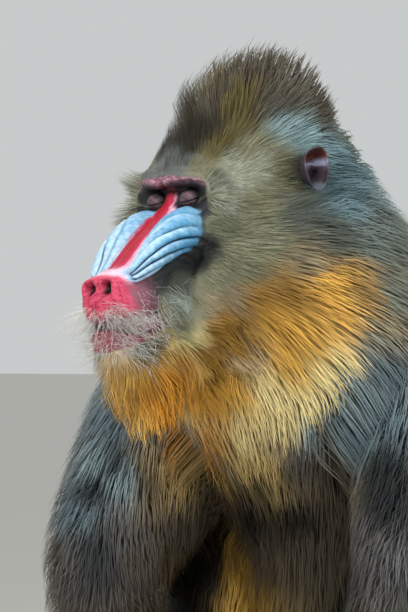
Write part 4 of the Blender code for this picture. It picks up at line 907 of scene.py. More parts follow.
# places of colour on the outside of the coat: the frame, the dye, how much of it is ticked with dark and
# light, and the places in mm; one to the left of the middle stands for both sides
marks = (
    ("h", "crestTip", 0.3, (
        (23, 92, 112), (23, 61, 99), (34, 110, 104), (48, 125, 87), (59, 146, 57), (17, 41, 88),
        (-2, 25, 74),
    )),
    ("b", "napeShade", 0.2, ((59, -184, 653), (138, -228, 509), (130, -254, 482))),
    ("h", "crownDark", 0.5, ((33, 36, 67), (0, 30, 78))),
    ("h", "crownDark", 0.4, ((20, 19, 56), (19, 11, 44), (0, 10, 50))),
    ("h", "foreheadGrey", 0.4, ((7, 4, 39), (-6, -1, 32))),
    ("h", "foreheadGrey", 0.3, ((-12, -8, 22),)),
    ("h", "foreheadGrey", 0.5, ((22, 2, 29),)),
    ("h", "crownGold", 0.6, ((38, 58, 82), (41, 22, 37), (0, 60, 100))),
    ("h", "crownGold", 0.7, ((53, 65, 65), (47, 40, 52))),
    ("h", "crownGold", 0.5, ((37, 71, 90),)),
    ("h", "templeOlive", 0.7, ((59, 51, 39),)),
    ("h", "crestTip", 0.5, ((54, 90, 76),)),
    ("h", "crestTip", 0.4, ((59, 104, 69), (0, 115, 118), (0, 160, 95), (40, 150, 70))),
    ("h", "templeOlive", 0.6, ((37, 10, 27), (66, 75, 43))),
    ("h", "templePale", 0.7, ((54, 36, 25), (59, 35, 9), (60, 61, 21))),
    ("h", "templePale", 0.6, ((69, 10, 9),)),
    ("h", "templeOlive", 0.8, ((71, 47, -12), (62, 89, 20), (63, 87, -3))),
    ("h", "tuftMist", 0.1, ((64, 93, 56), (68, 102, 46), (66, 116, 35), (62, 130, 26))),
    ("h", "cheekShade", 0.5, ((73, 89, -8), (91, 83, -28))),
    ("b", "napeSlate", 0.2, ((66, -221, 629), (126, -257, 469))),
    ("h", "napeSlate", 0.2, ((90, 137, -23),)),
    ("b", "napeShade", 0.3, ((116, -218, 562), (0, -60, 600), (80, -60, 540))),
    ("h", "cheekShade", 0.4, ((103, 110, -52), (39, -35, -121))),
    ("h", "cheekOlive", 0.8, ((86, 45, -40),)),
    ("h", "cheekOlive", 0.9, ((75, 14, -40),)),
    ("h", "templePale", 0.8, ((70, 6, -12),)),
    ("h", "cheekOlive", 0.6, ((60, -2, -20), (65, -5, -73), (78, 20, -74))),
    ("h", "orbitShade", 0.4, ((56, -10, -45), (42, -54, -128))),
    ("h", "orbitShade", 0.3, ((50, -13, -60),)),
    ("h", "orbitShade", 0.2, ((38, -21, -59), (35, -42, -67))),
    ("h", "lockWhite", 0.1, ((34, -18, -96), (34, -19, -100))),
    ("h", "cheekOlive", 0.4, ((56, -16, -80),)),
    ("b", "goldMid", 0.2, (
        (26, -341, 487), (83, -308, 511), (15, -340, 474), (55, -327, 509), (26, -340, 482),
    )),
    ("b", "goldDull", 0.4, ((41, -332, 509),)),
    ("b", "goldMid", 0.15, ((64, -327, 493),)),
    ("h", "goldDull", 0.4, ((100, 80, -73),)),
    ("b", "goldBright", 0.1, (
        (109, -275, 519), (1, -313, 425), (-6, -291, 398), (74, -319, 483), (79, -301, 447),
        (108, -282, 465),
    )),
    ("b", "goldBright", 0.05, ((120, -271, 487),)),
    ("b", "goldPale", 0.05, ((97, -294, 465),)),
    ("b", "goldPale", 0.1, (
        (70, -303, 440), (12, -307, 419), (3, -338, 465), (8, -329, 447), (117, -271, 509),
        (126, -261, 491), (-22, -266, 370), (120, -268, 474),
    )),
    ("b", "cream", 0.15, ((98, -274, 434),)),
    ("b", "cream", 0.1, (
        (50, -297, 419), (2, -280, 384), (113, -264, 443), (42, -312, 434), (91, -270, 421),
        (71, -271, 403), (40, -272, 385), (110, -276, 456), (6, -268, 371),
    )),
    ("b", "chinPale", 0.1, ((42, -322, 447),)),
    ("b", "cream", 0.2, ((53, -276, 396), (0, -150, 180), (0, -110, 120))),
    ("b", "paleSlate", 0.2, (
        (63, -255, 378), (110, -252, 425), (-163, -273, 355), (-131, -272, 346), (91, -245, 394),
    )),
    ("b", "bibGold", 0.1, (
        (-14, -320, 434), (-34, -269, 377), (-55, -248, 363), (-48, -276, 391), (-39, -273, 384),
    )),
    ("b", "bibGold", 0.05, ((-28, -298, 409),)),
    ("h", "bibGold", 0.05, ((37, -56, -193),)),
    ("h", "goldBright", 0.05, ((42, -79, -157),)),
    ("h", "beardGold", 0.1, ((20, -96, -161), (1, -101, -146), (2, -95, -174), (0, -90, -180))),
    ("h", "goldBright", 0.1, ((10, -78, -198),)),
    ("h", "cream", 0.1, ((10, -71, -211),)),
    ("h", "chinPale", 0.05, ((19, -97, -136),)),
    ("h", "lockWhite", 0.05, ((-7, -97, -124), (-16, -97, -135))),
    ("b", "umberShade", 0.3, (
        (-108, -257, 346), (34, -243, 347), (-92, -233, 296), (25, -198, 275), (51, -209, 312),
        (73, -224, 349), (-188, -301, 274), (-113, -275, 275),
    )),
    ("b", "goldDull", 0.3, ((-27, -247, 349),)),
    ("b", "edgeBrown", 0.3, ((5, -248, 346), (-102, -250, 355), (-53, -235, 347), (-84, -228, 337))),
    # near black hair; the low marks on the right side, between far arm and belly, are painted shade of that
    # gap
    ("b", "nearBlack", 0.2, (
        (-30, -212, 301), (25, -215, 303), (-112, -166, 250), (-150, -135, 250), (-122, -160, 210),
        (-105, -150, 300), (140, -90, 270), (150, -60, 225), (150, -180, 280), (140, -190, 220),
    )),
    ("b", "umberShade", 0.2, (
        (-87, -208, 300), (78, -250, 385), (53, -244, 358), (-78, -213, 328), (-29, -231, 329),
    )),
    ("b", "nearBlack", 0.1, ((-5, -240, 336),)),
    ("b", "bellyStraw", 0.4, ((-70, -160, 250), (-39, -150, 240), (-74, -158, 215))),
    ("b", "nearBlack", 0.3, ((112, -160, 250),)),
    ("b", "blueSlate", 0.25, ((127, -244, 403), (127, -237, 438))),
    ("b", "blueSlate", 0.3, ((103, -240, 385), (-171, -293, 310), (150, -60, 440), (200, -180, 400))),
    ("b", "coldBlack", 0.3, ((160, -283, 334), (31, -147, 237), (-144, -301, 275), (141, -269, 360))),
    ("b", "greyMauve", 0.3, ((118, -282, 281), (173, -304, 274))),
    ("b", "blueSlate", 0.2, ((-169, -248, 400), (153, -253, 395))),
    ("h", "goldPale", 0.1, ((18, -68, -209), (43, -45, -133), (5, -75, -206))),
    ("h", "bibGold", 0.1, ((14, -50, -220), (31, -75, -186), (49, -51, -161), (0, -40, -200))),
    ("b", "goldDull", 0.2, ((-20, -261, 364), (25, -266, 371), (122, -263, 509), (-104, -248, 364))),
    ("h", "goldMid", 0.1, ((43, -69, -174), (16, -86, -184), (34, -83, -172))),
    ("b", "goldMid", 0.1, ((3, -338, 465), (45, -329, 465), (34, -335, 469), (127, -254, 509))),
    ("h", "goldDull", 0.3, ((54, -7, -103), (53, -16, -93))),
    ("h", "cheekShade", 0.3, ((41, -74, -131), (40, -32, -117), (38, -24, -80))),
    ("b", "edgeBrown", 0.2, ((-7, -256, 357), (-18, -247, 348))),
    ("h", "strawPale", 0.1, ((41, -23, -122), (38, -27, -131), (43, -42, -133), (39, -33, -130))),
    ("b", "bibGold", 0.2, ((-90, -235, 373), (-57, -245, 360))),
    ("b", "goldPale", 0.2, ((-53, -235, 347),)),
    ("b", "greyMauve", 0.2, ((45, -247, 358),)),
    ("h", "goldPale", 0.2, ((18, -68, -209),)),
    ("h", "crownDark", 0.3, ((9, 21, 66), (23, 27, 64), (20, 16, 52))),
    ("h", "crestPale", 0.4, ((46, 127, 89),)),
    ("b", "coldBlack", 0.2, ((-128, -292, 275), (240, -400, 30), (135, -370, 30))),
    ("b", "edgeBrown", 0.1, ((14, -256, 357),)),
    ("h", "cheekOlive", 0.3, ((50, -19, -92), (43, -12, -104))),
    ("b", "backBrown", 0.5, ((0, 60, 480), (90, 30, 440))),
    ("b", "backBrown", 0.6, ((0, 120, 360), (110, 80, 300))),
    ("b", "limbOlive", 0.5, (
        (145, 0, 260), (0, 150, 230), (160, -40, 200), (210, -90, 150), (250, -160, 180),
        (245, -220, 110), (190, -270, 200), (160, -310, 120), (110, -280, 120),
    )),
    ("b", "umberShade", 0.4, ((120, -60, 330), (235, -290, 50), (120, -260, 200), (135, -320, 55))),
    ("b", "backBrown", 0.4, ((0, 195, 200),)),
    ("b", "greyMauve", 0.4, ((110, 110, 150),)),
    ("b", "coldBlack", 0.4, ((215, -240, 300),)),
    ("b", "cream", 0.3, ((80, -70, 120),)),
    ("h", "napeShade", 0.3, ((0, 190, 40),)),
    ("h", "napeSlate", 0.3, ((60, 160, 10),)),
)


def guideTable():
    rows = []
    for frameOf, x, y, z, wx, wy, wz, length, lift, width in guides:
        for side in (1, -1) if x else (1,):
            place = np.array((x * side, y, z)) / 1000
            way = unit(np.array((wx * side, wy, wz), float))
            if frameOf == "h":
                place, way = toWorld(place), headTurn @ way
            rows.append((*place, *way, length / 1000, lift, width / 1000))
    return np.array(rows)


def markTable():
    rows = []
    for frameOf, dye, ticked, places in marks:
        for x, y, z in places:
            for side in (1, -1) if x > 0 else (1,):
                place = np.array((x * side, y, z)) / 1000
                place = toWorld(place) if frameOf == "h" else place
                rows.append((*place, *linear(dyes[dye]), ticked))
    return np.array(rows)


def blended(points, table, near, power):
    # the values of a table at each point: a mean weighted by a power of nearness
    values = np.empty((len(points), table.shape[1] - 3))
    for start in range(0, len(points), 20000):
        chunk = points[start : start + 20000]
        gap = ((chunk[:, None] - table[None, :, :3]) ** 2).sum(-1)
        weight = 1 / (gap + near**2) ** power
        weight /= weight.sum(1, keepdims=True)
        values[start : start + 20000] = weight @ table[:, 3:]
    return values


coatGuides = guideTable()
coatMarks = markTable()


def coatAt(points):
    # way, length, lift and width of the hair that is rooted at each point
    return blended(points, coatGuides, 0.006, 2.2)


def coatColour(points):
    # colour and ticking of the coat's outside near each point
    return blended(points, coatMarks, 0.009, 2.6)


def wobble(points, size, seed):
    # smooth noise from a few sine waves across the points, about -1 to 1
    waves = np.random.default_rng(seed)
    total = np.zeros(len(points))
    for _ in range(6):
        way = unit(waves.normal(size=3)) * 2 * math.pi / (size * waves.uniform(0.7, 1.6))
        total += np.sin(points @ way + waves.uniform(0, 6))
    return total / 3


# Bare skin of the face and rump: where it is and its colours

skinDyes = {
    "crimson": "#a5041c",
    "rose": "#ab2547",
    "pink": "#e59db4",
    "palePink": "#e7b7cb",
    "paleBlue": "#a9c9df",
    "blue": "#5795bc",
    "deepBlue": "#2a77a3",
    "socketDarkAndShade": "#14171b",
    "browPink": "#b58496",
    "noseRose": "#d04c6c",
    "noseRed": "#93122f",
    "muzzle": "#80505e",
    "muzzleDarkAndShade": "#2c2e33",
    "lip": "#86394a",
    "lipDark": "#5c2430",
    "chinRed": "#8c4854",
    "mouthDark": "#241014",
    "handSkin": "#2b2624",
    "rumpLilac": "#8f7bb4",
    "rumpRose": "#c4566f",
    "callus": "#9a7f82",
    "grooveShade": "#0f2c40",
}
skinTones = {name: linear(value) for name, value in skinDyes.items()}


def bareness(points):
    # 1 on bare skin and 0 under the coat, for points in the world
    p = toHead(points)
    x, y, z = np.abs(p[:, 0]) * 1000, p[:, 1] * 1000, p[:, 2] * 1000
    ragged = wobble(points, 0.009, 3) * 1.6
    heights = (-150, -134, -129, -119, -110, -90, -76, -64, -52, -44, -30, -8, 30)
    borders = (-130, -130, -96, -64, -46, -52, -46, -36, -21, -9, -3, 4, 4)
    snout = smoothStep(2.5, -2.5, y - np.interp(z, heights, borders) + ragged)
    snout = snout * (z < 6) * (z > -165)
    orbits = smoothStep(1.08, 0.95, np.sqrt((x / 51) ** 2 + ((z - 4) / 15.0) ** 2) + ragged * 0.03) * (y < 22)
    bare = np.maximum(snout, orbits)
    q = points * 1000
    rump = np.sqrt(((np.abs(q[:, 0]) - 26) / 52) ** 2 + ((q[:, 2] - 86) / 62) ** 2)
    rump = smoothStep(1.08, 0.92, rump + ragged * 0.03) * (q[:, 1] > 60) * (q[:, 1] < 150)
    soles = (q[:, 2] < 7) * 1.0
    return np.maximum(np.maximum(bare, rump), soles)


def faceColour(p, points):
    # colour of the bare face: p in the head frame, points in the world for the blotches
    x, y, z = np.abs(p[:, 0]) * 1000, p[:, 1] * 1000, p[:, 2] * 1000
    dye = skinTones
    blotch, fine = wobble(points, 0.006, 5), wobble(points, 0.0022, 6)
    # muzzle side: mauve behind the nose, dark towards the cheek, partly painted shade; under the swelling the
    # near black is painted shade
    dark = smoothStep(-66, -46, y + blotch * 4 + (z + 85) * 0.15)
    colour = mix(np.tile(dye["muzzle"], (len(p), 1)), dye["muzzleDarkAndShade"], dark)
    # painted shade under the swelling
    shade = smoothStep(-74, -58, z) * smoothStep(-54, -38, y)
    colour = mix(colour, dye["socketDarkAndShade"], shade * 0.85)
    red = smoothStep(-70, -86, y + blotch * 3.5 + (z + 80) * 0.25) * smoothStep(-104, -94, z + blotch * 2)
    colour = mix(colour, dye["noseRose"], red)
    gap = z - mouthLine(p[:, 1]) * 1000
    upper = np.exp(-(((gap - 5) / 5.0) ** 2)) * smoothStep(-44, -56, y)
    colour = mix(colour, dye["muzzle"] * 0.8, upper * 0.7)
    lower = smoothStep(0.5, -1.5, gap) * smoothStep(-13, -9, gap) * smoothStep(-47, -54, y)
    colour = mix(colour, dye["lip"], lower)
    chin = smoothStep(-9, -14, gap) * smoothStep(-62, -74, y)
    colour = mix(colour, dye["chinRed"], chin * 0.8)
    colour = mix(colour, dye["lipDark"], np.exp(-(((gap + 3.5 + blotch) / 1.6) ** 2)) * lower * 0.6)
    # the line between the lips is near black: painted shade in the crease of the mouth
    colour = mix(colour, dye["mouthDark"], np.exp(-((gap / 1.2) ** 2)) * smoothStep(-43, -48, y))
    # swellings: paler towards the front and on the upper folds; each fold has a painted highlight along its
    # top and painted shade above the groove below it
    phase, *_, along = grooveLines(p)
    fold = phase - np.floor(phase)
    pale = 0.30 + 0.42 * smoothStep(0.30, 1.0, along) + 0.24 * smoothStep(1.4, 3.2, phase)
    pale = pale + 0.34 * (smoothStep(0.15, 0.75, fold) - 0.55) * smoothStep(0.1, 0.4, along) + 0.07 * blotch
    deep = smoothStep(0.42, 0.05, pale)
    tone = mix(mix(dye["blue"], dye["deepBlue"], deep), dye["paleBlue"], smoothStep(0.35, 0.95, pale))
    rim = np.interp(z, (-50, -38, -15), (-17, -7.6, -3.4)) - y
    tone = mix(tone, dye["socketDarkAndShade"], smoothStep(3.5, -0.5, rim) * 0.55)
    # ridge: crimson, rose on its left flank, with a pink border towards the blue; on the near side the border
    # is stronger and runs into pale pink, partly painted highlight on the inner slope of the swelling
    across = p[:, 0] * 1000 + 4.5
    streak = np.sin(across * 2.6 + 1.4 * wobble(points, 0.02, 9)) * 0.5 + blotch * 0.5
    half = np.interp(y, (-80, -60, -35, -12, 0), (8.0, 9.5, 9.5, 9.0, 8.0))
    off = np.abs(across) - half
    ridge = mix(np.tile(dye["crimson"], (len(p), 1)), dye["rose"], smoothStep(-4.5, 0.5, off + streak * 1.2))
    near = across > 0
    # on the near side: pink border at full strength and pale pink beyond it, partly painted highlight
    ridge = mix(ridge, dye["pink"], smoothStep(1.0, 4.5, off + streak * 0.6) * np.where(near, 1.0, 0.4))
    ridge = mix(ridge, dye["palePink"], smoothStep(4.0, 9.0, off) * near)
    front = smoothStep(-56, -72, y + blotch)
    ridge = mix(ridge, dye["rose"], front * 0.6 * smoothStep(1, -1, off))
    ridge = mix(ridge, dye["palePink"], smoothStep(-68, -76, y + blotch * 1.5) * (z > -70) * 0.8)
    onRidge = smoothStep(29, 25, x) * (y < 14) * smoothStep(4.5, -0.5, z)
    onRidge = onRidge * smoothStep(-88, -80, y) * (z > -72)
    narrow = smoothStep(np.interp(y, (-12, 0), (22, 11)), np.interp(y, (-12, 0), (19, 9)), x)
    shadow = smoothStep(14, 9, x) * (y < 14) * smoothStep(-2, 3, z) * smoothStep(13, 9, z)
    colour = mix(colour, dye["crimson"] * 0.12, shadow)
    colour = mix(colour, ridge, onRidge * np.where(y > -12, narrow, 1.0))
    colour = mix(colour, tone, blueSkin(p))
    # nose pad
    nose = smoothStep(-74, -84, y + blotch * 2 + (z + 75) * 0.2) * smoothStep(-99, -88, z + blotch * 2)
    nose = nose * smoothStep(33, 27, x) * smoothStep(-60.5, -64.5, z + blotch * 0.8)
    speck = wobble(points, 0.0012, 7)
    redder = np.clip(0.36 + blotch * 0.55 + fine * 0.5 + speck * 0.3, 0, 1)
    pad = mix(np.tile(dye["noseRose"], (len(p), 1)), dye["noseRed"], redder)
    colour = mix(colour, pad, nose)
    # nostrils: deep red round each opening and near black inside, painted shade in the dents
    hole = np.exp(-(((x - 11.5) / 6.0) ** 2) - ((z + 72.5) / 6.4) ** 2) * (y < -74)
    colour = mix(colour, dye["noseRed"] * 0.6, np.clip(hole * 1.2, 0, 1) * 0.6)
    colour = mix(colour, dye["mouthDark"] * 0.12, smoothStep(0.42, 0.62, hole) * smoothStep(-92.5, -90.5, y))
    # brow and orbits: the sockets and the outer sides of the eyes are near black, dark skin with painted
    # shade;
    # painted shade also lies under the brow
    socket = np.sqrt(((x - 28) / 26) ** 2 + ((z + 1) / 12.0) ** 2)
    socketDarkAndShade = smoothStep(1.10, 0.85, socket) * (y < 22) * (y > -14)
    socketDarkAndShade = socketDarkAndShade * smoothStep(6.5, 9.5, x) * (1 - blueSkin(p))
    colour = mix(colour, dye["socketDarkAndShade"], socketDarkAndShade * 0.96)
    colour = mix(colour, dye["socketDarkAndShade"], smoothStep(36, 44, x) * (z > -12) * (y < 22) * 0.9)
    rise = z - np.interp(x, (0, 10, 22, 34, 44, 50), (14.2, 15.2, 17.6, 17.8, 13.8, 9)) + 1.3 * blotch
    brow = np.exp(-((rise / 4.4) ** 2)) * (y < 20) * smoothStep(53, 43, x) * np.clip(0.78 + 0.40 * fine, 0, 1)
    crease = 0.5 + 0.5 * np.sin(x * 0.9 + rise * 0.5 + 2 * blotch)
    # painted shade under the brow, between it and the lids
    under = smoothStep(-2.5, -5.0, rise) * (z > 0) * (y < 20) * smoothStep(52, 47, x) * smoothStep(5, 9, x)
    colour = mix(colour, dye["socketDarkAndShade"], under * 0.9)
    colour = mix(colour, dye["browPink"] * (0.70 + 0.50 * crease)[:, None], brow * 0.92)
    return colour * (1 + 0.09 * fine + 0.06 * blotch)[:, None]


def skinColour(points):
    # base colour of the skin at points in the world: bare skin where it shows, dark underfur elsewhere
    p = toHead(points)
    q = points * 1000
    dye = skinTones
    colour = faceColour(p, points)
    under = coatColour(points)[:, :3] * 0.75
    under = mix(under, dye["handSkin"], smoothStep(60, 40, q[:, 2]) * smoothStep(-255, -275, q[:, 1]))
    rump = smoothStep(-0.3, 0.5, wobble(points, 0.03, 8) * 0.5 - (np.abs(q[:, 0]) - 34) / 40)
    rump = mix(np.tile(dye["rumpLilac"], (len(p), 1)), dye["rumpRose"], rump)
    rump = mix(rump, dye["callus"], smoothStep(46, 30, q[:, 2]))
    colour = mix(colour, rump, q[:, 1] > 60)
    colour = mix(colour, np.tile(dye["handSkin"], (len(p), 1)), (q[:, 2] < 40) & (q[:, 1] < 60))
    return np.clip(mix(under, colour, bareness(points)), 0, 1)


# Skin

print("forms of the outline")
outlineObject = melted("outline", bodyForms(1, 1), 0.0060, 3)
outlineHead = melted("outlineHead", headForms(1), 0.0045, 2)
outlineHead.data.transform(headPlace)
outline = united(outlineObject, outlineHead)
outlineTree = treeOf(outline)
bpy.data.objects.remove(outline)

print("skin of the head")
headSkin = melted("headSkin", headForms(pose["coreShare"]), 0.0021, 3)
finerFace(headSkin)
sculptFace(headSkin)
headSkin.data.transform(headPlace)
print("skin of the body")
skin = melted("mandrillSkin", bodyForms(pose["coreShare"], 0), 0.0058, 4)
for limbSide in (1, -1):
    for kind in ("hand", "foot"):
        skin = united(skin, melted(kind, pawForms(kind, limbSide), 0.0030, 2))
skin = united(skin, headSkin)
skinPoints = pointsOf(skin)
skinPoints[:, 2] = np.maximum(skinPoints[:, 2], pose["floorGap"])
movePoints(skin, skinPoints)
skin.data.polygons.foreach_set("use_smooth", np.full(len(skin.data.polygons), True))
paint(skin, "hue", skinColour(skinPoints))
phase, spacing, strength, inside, *_ = grooveLines(toHead(skinPoints))
onBlue = strength * inside * blueSkin(toHead(skinPoints))
grooves = ((phase + 1) / face["countScale"], spacing / face["gapScale"], onBlue)
paint(skin, "groove", np.stack(grooves, 1))
skin.data.calc_loop_triangles()
print("skin triangles", len(skin.data.loop_triangles))


def livingSkin(name, grooved=False):
    # skin: dense, slightly oily, with pores and fine creases about 1 mm apart that break the highlight; the
    # dark grooves of the swellings are painted shade in their creases, 1.5 mm wide, drawn from the count of
    # grooves and the gap between them
    material, tree, shader = newMaterial(name)
    place = addNode(tree, "ShaderNodeTexCoord").outputs["Object"]
    colour = addNode(tree, "ShaderNodeAttribute", {"attribute_name": "hue"}).outputs["Color"]
    if grooved:
        groove = addNode(tree, "ShaderNodeAttribute", {"attribute_name": "groove"})
        part = addNode(tree, "ShaderNodeSeparateColor", None, {"Color": groove.outputs["Color"]})
        count = addNode(tree, "ShaderNodeMath", {"operation": "MULTIPLY"}, {0: part.outputs["Red"]})
        count.inputs[1].default_value = face["countScale"]
        off = addNode(tree, "ShaderNodeMath", {"operation": "PINGPONG"}, {0: count.outputs[0]})
        off.inputs[1].default_value = 0.5
        wide = addNode(
            tree, "ShaderNodeMath", {"operation": "MULTIPLY"}, {0: off.outputs[0], 1: part.outputs["Green"]}
        )
        line = addNode(
            tree, "ShaderNodeMapRange", {"interpolation_type": "SMOOTHSTEP"}, {"Value": wide.outputs[0]}
        )
        line.inputs["From Min"].default_value = 1.45 / face["gapScale"]
        line.inputs["From Max"].default_value = 0.35 / face["gapScale"]
        share = addNode(
            tree, "ShaderNodeMath", {"operation": "MULTIPLY"}, {0: line.outputs[0], 1: part.outputs["Blue"]}
        )
        # the grooves are painted dark navy: painted shade in the creases
        shadedGrooves = addNode(tree, "ShaderNodeMix", {"data_type": "RGBA"}, {"Factor": share.outputs[0]})
        tree.links.new(colour, shadedGrooves.inputs[6])
        shadedGrooves.inputs[7].default_value = (*linear(skinDyes["grooveShade"]), 1)
        colour = shadedGrooves.outputs[2]
    pores = addNode(tree, "ShaderNodeTexVoronoi", {"Scale": 900.0}, {"Vector": place})
    creases = addNode(tree, "ShaderNodeTexNoise", {"Scale": 420.0, "Detail": 4.0}, {"Vector": place})
    both = addNode(tree, "ShaderNodeMath", {"operation": "ADD"}, {0: pores.outputs["Distance"]})
    tree.links.new(creases.outputs["Fac"], both.inputs[1])
    relief = {"Strength": 0.35, "Distance": 0.0006}
    bump = addNode(tree, "ShaderNodeBump", relief, {"Height": both.outputs[0]})
    oiliness = {"To Min": 0.40, "To Max": 0.62}
    sheen = addNode(tree, "ShaderNodeMapRange", oiliness, {"Value": creases.outputs["Fac"]})
    tree.links.new(colour, shader.inputs["Base Color"])
    tree.links.new(sheen.outputs["Result"], shader.inputs["Roughness"])
    tree.links.new(bump.outputs["Normal"], shader.inputs["Normal"])
    shader.inputs["IOR"].default_value = 1.42
    shader.inputs["Specular IOR Level"].default_value = 0.40
    return material


fleshNodes = ["head", "lower_jaw", "neck", "chest", "hips", "tail"]
for part in ("upper_arm", "forearm", "hand", "thigh", "shin", "foot"):
    fleshNodes += [part + "_left", part + "_right"]
dressed(skin, livingSkin("livingSkin", grooved=True), "head", *fleshNodes)
skinTree = treeOf(skin)


# Eyelids: closed lids over the ball, creased in rings, with the slit a third of the way up

lids = {
    "centre": (0.0235, 0.0075, -0.0035),
    "radius": (0.0118, 0.0115, 0.0088),
    "slit": -0.30,
    "slitCurve": 0.22,
    "dye": "#5c474f",
    "edge": "#131013",
}


def eyelids(side):
    # an ellipsoid worked out by latitude and longitude, pressed in along the slit and rippled round it
    rows, columns = 60, 90
    rise = np.linspace(-math.pi / 2, math.pi / 2, rows)[:, None]
    turn = np.linspace(0, 2 * math.pi, columns, endpoint=False)[None, :]
    ball = np.stack([np.cos(rise) * np.cos(turn), np.cos(rise) * np.sin(turn), np.sin(rise) + 0 * turn], -1)
    slit = lids["slit"] + lids["slitCurve"] * ball[..., 0] ** 2
    off = ball[..., 2] - slit
    folds = -0.085 * np.exp(-((off / 0.075) ** 2))
    folds = folds + 0.014 * np.cos(off * 30) * np.exp(-((off - 0.5) ** 2) / 0.4)
    folds = folds * smoothStep(0.15, -0.2, ball[..., 1])
    shape = ball * (1 + folds[..., None]) * lids["radius"]
    points = shape.reshape(-1, 3) * (side, 1, 1) + mirrored(lids["centre"], side)
    triangles = gridTriangles(rows, columns)
    obj = meshOf("eyelid" + ("Left" if side > 0 else "Right"), toWorld(points), triangles)
    facesOut(obj, weld=1e-6)
    local = (toHead(pointsOf(obj)) - mirrored(lids["centre"], side)) / lids["radius"]
    away = np.abs(local[:, 2] - lids["slit"] - lids["slitCurve"] * local[:, 0] ** 2)
    edge = np.exp(-((away / 0.10) ** 2)) + smoothStep(0.72, 1.0, np.hypot(local[:, 0], local[:, 2]))
    blotch = wobble(pointsOf(obj), 0.004, 21)
    hue = linear(lids["dye"]) * (1 + 0.45 * blotch[:, None])
    paint(obj, "hue", np.clip(mix(hue, linear(lids["edge"]), np.clip(edge, 0, 1)), 0, 1))
    return obj


skinLids = livingSkin("thinLidSkin")
for lidSide, word in ((1, "left"), (-1, "right")):
    dressed(eyelids(lidSide), skinLids, "eye", "eye_" + word)
print("eyelids made")


# Ears: a leaf-shaped dish with a rolled rim, an inner ridge and a deep hollow in front

ears = {
    "height": 0.038,
    "width": 0.023,
    "turn": math.radians(16),
    "root": (0.0705, 0.109, 0.009),
    "squareness": 2.9,  # 2 is an oval
    # colours down the dish, from the top of the hollow to the lobe, with the height of each
    "bands": (
        (1.0, "#3a3030"),
        (0.82, "#3a201e"),
        (0.45, "#5a2822"),
        (0.26, "#8387a0"),
        (0.08, "#5d5364"),
        (-0.15, "#3a2e36"),
        (-0.55, "#2c2328"),
        (-0.75, "#4c525c"),
        (-1.0, "#5a616c"),
    ),
    "rim": "#4b4850",
    "hollow": "#241418",
    "back": "#4a4248",
}


def earShape(side):
    # a grid of angle and reach: reach 0 to 1 is the dish, 1 to 2 turns over the rim and down the back;
    # the outline is a squared oval with a flat top, narrowing to the lobe
    angle = np.linspace(0, 2 * math.pi, 72, endpoint=False)[None, :]
    reach = np.concatenate([np.linspace(0.02, 1, 26), np.linspace(1.06, 2.0, 16)])[:, None]
    front = np.clip(reach, 0, 1)
    over = np.clip(reach - 1, 0, 1)
    share = front + 0.035 * np.sin(over * math.pi) - 0.42 * over
    cos, sin = np.cos(angle), np.sin(angle)
    power = ears["squareness"]
    square = (np.abs(cos) ** power + np.abs(sin) ** power) ** (-1 / power)
    bowl = 0.0095 * front**2.2 + 0.0018 * np.exp(-(((front - 0.93) / 0.06) ** 2))
    ridge = 0.0034 * np.exp(-(((share * sin - 0.18 - 0.10 * cos) / 0.10) ** 2)) * smoothStep(0.95, 0.7, front)
    hollow = -0.0075 * np.exp(-(((share * sin - 0.55) / 0.22) ** 2)) * smoothStep(0.95, 0.6, front)
    well = -0.0085 * np.exp(-(((share * sin + 0.18) / 0.24) ** 2) - ((share * cos + 0.15) / 0.4) ** 2)
    lump = 0.0030 * np.exp(-(((share * sin + 0.25) / 0.16) ** 2) - ((share * cos - 0.5) / 0.22) ** 2)
    lift = bowl + ridge + hollow + well + lump - 0.030 * over**1.3
    narrow = 1 - 0.30 * smoothStep(0.1, -1.0, sin * share)
    across = ears["width"] / 2 * share * square * cos * narrow
    high = ears["height"] / 2 * share * square * sin * (1 - 0.10 * cos * (sin > 0))
    rings = np.stack([across, lift + 0 * angle, high], -1)
    obj = ringSurface("ear" + ("Left" if side > 0 else "Right"), rings)
    points = pointsOf(obj)
    turn = np.array(Matrix.Rotation(-math.pi / 2 - ears["turn"], 3, "Z"))
    points = (points @ turn.T) * (side, 1, 1) + mirrored(ears["root"], side)
    movePoints(obj, toWorld(points))
    facesOut(obj)
    flat = np.concatenate([(front + 0 * angle + over * 10).ravel(), [0.0, 20.0]])
    turns = np.concatenate([(angle + 0 * reach).ravel(), [0.0, 0.0]])
    rise = np.concatenate([(share * np.sin(angle)).ravel(), [0.0, 0.0]])
    bands = sorted(ears["bands"])
    tones = np.array([linear(colour) for _, colour in bands])
    hue = np.stack([np.interp(rise, [height for height, _ in bands], tones[:, i]) for i in range(3)], 1)
    hue = mix(hue, linear(ears["rim"]), smoothStep(0.84, 0.98, flat) * (0.35 + 0.35 * np.sin(turns + 2.2)))
    shadow = np.exp(-(((flat - 0.30) / 0.16) ** 2)) * smoothStep(0.1, -0.1, rise) * 0.8
    hue = mix(hue, linear(ears["hollow"]), shadow)
    hue = mix(hue, linear(ears["back"]), smoothStep(1.5, 3, flat))
    paint(obj, "hue", np.clip(hue * (1 + 0.12 * wobble(points, 0.005, 23)[:, None]), 0, 1))
    return obj


earSkin = livingSkin("thinEarSkin")
for earSide, word in ((1, "left"), (-1, "right")):
    dressed(earShape(earSide), earSkin, "ear", "ear_" + word)
print("ears made")


# Nails: short curved plates on the ends of the digits

nails = {"length": 0.011, "thickness": 0.0012, "dye": "#2a231f", "streak": "#5a4c42"}


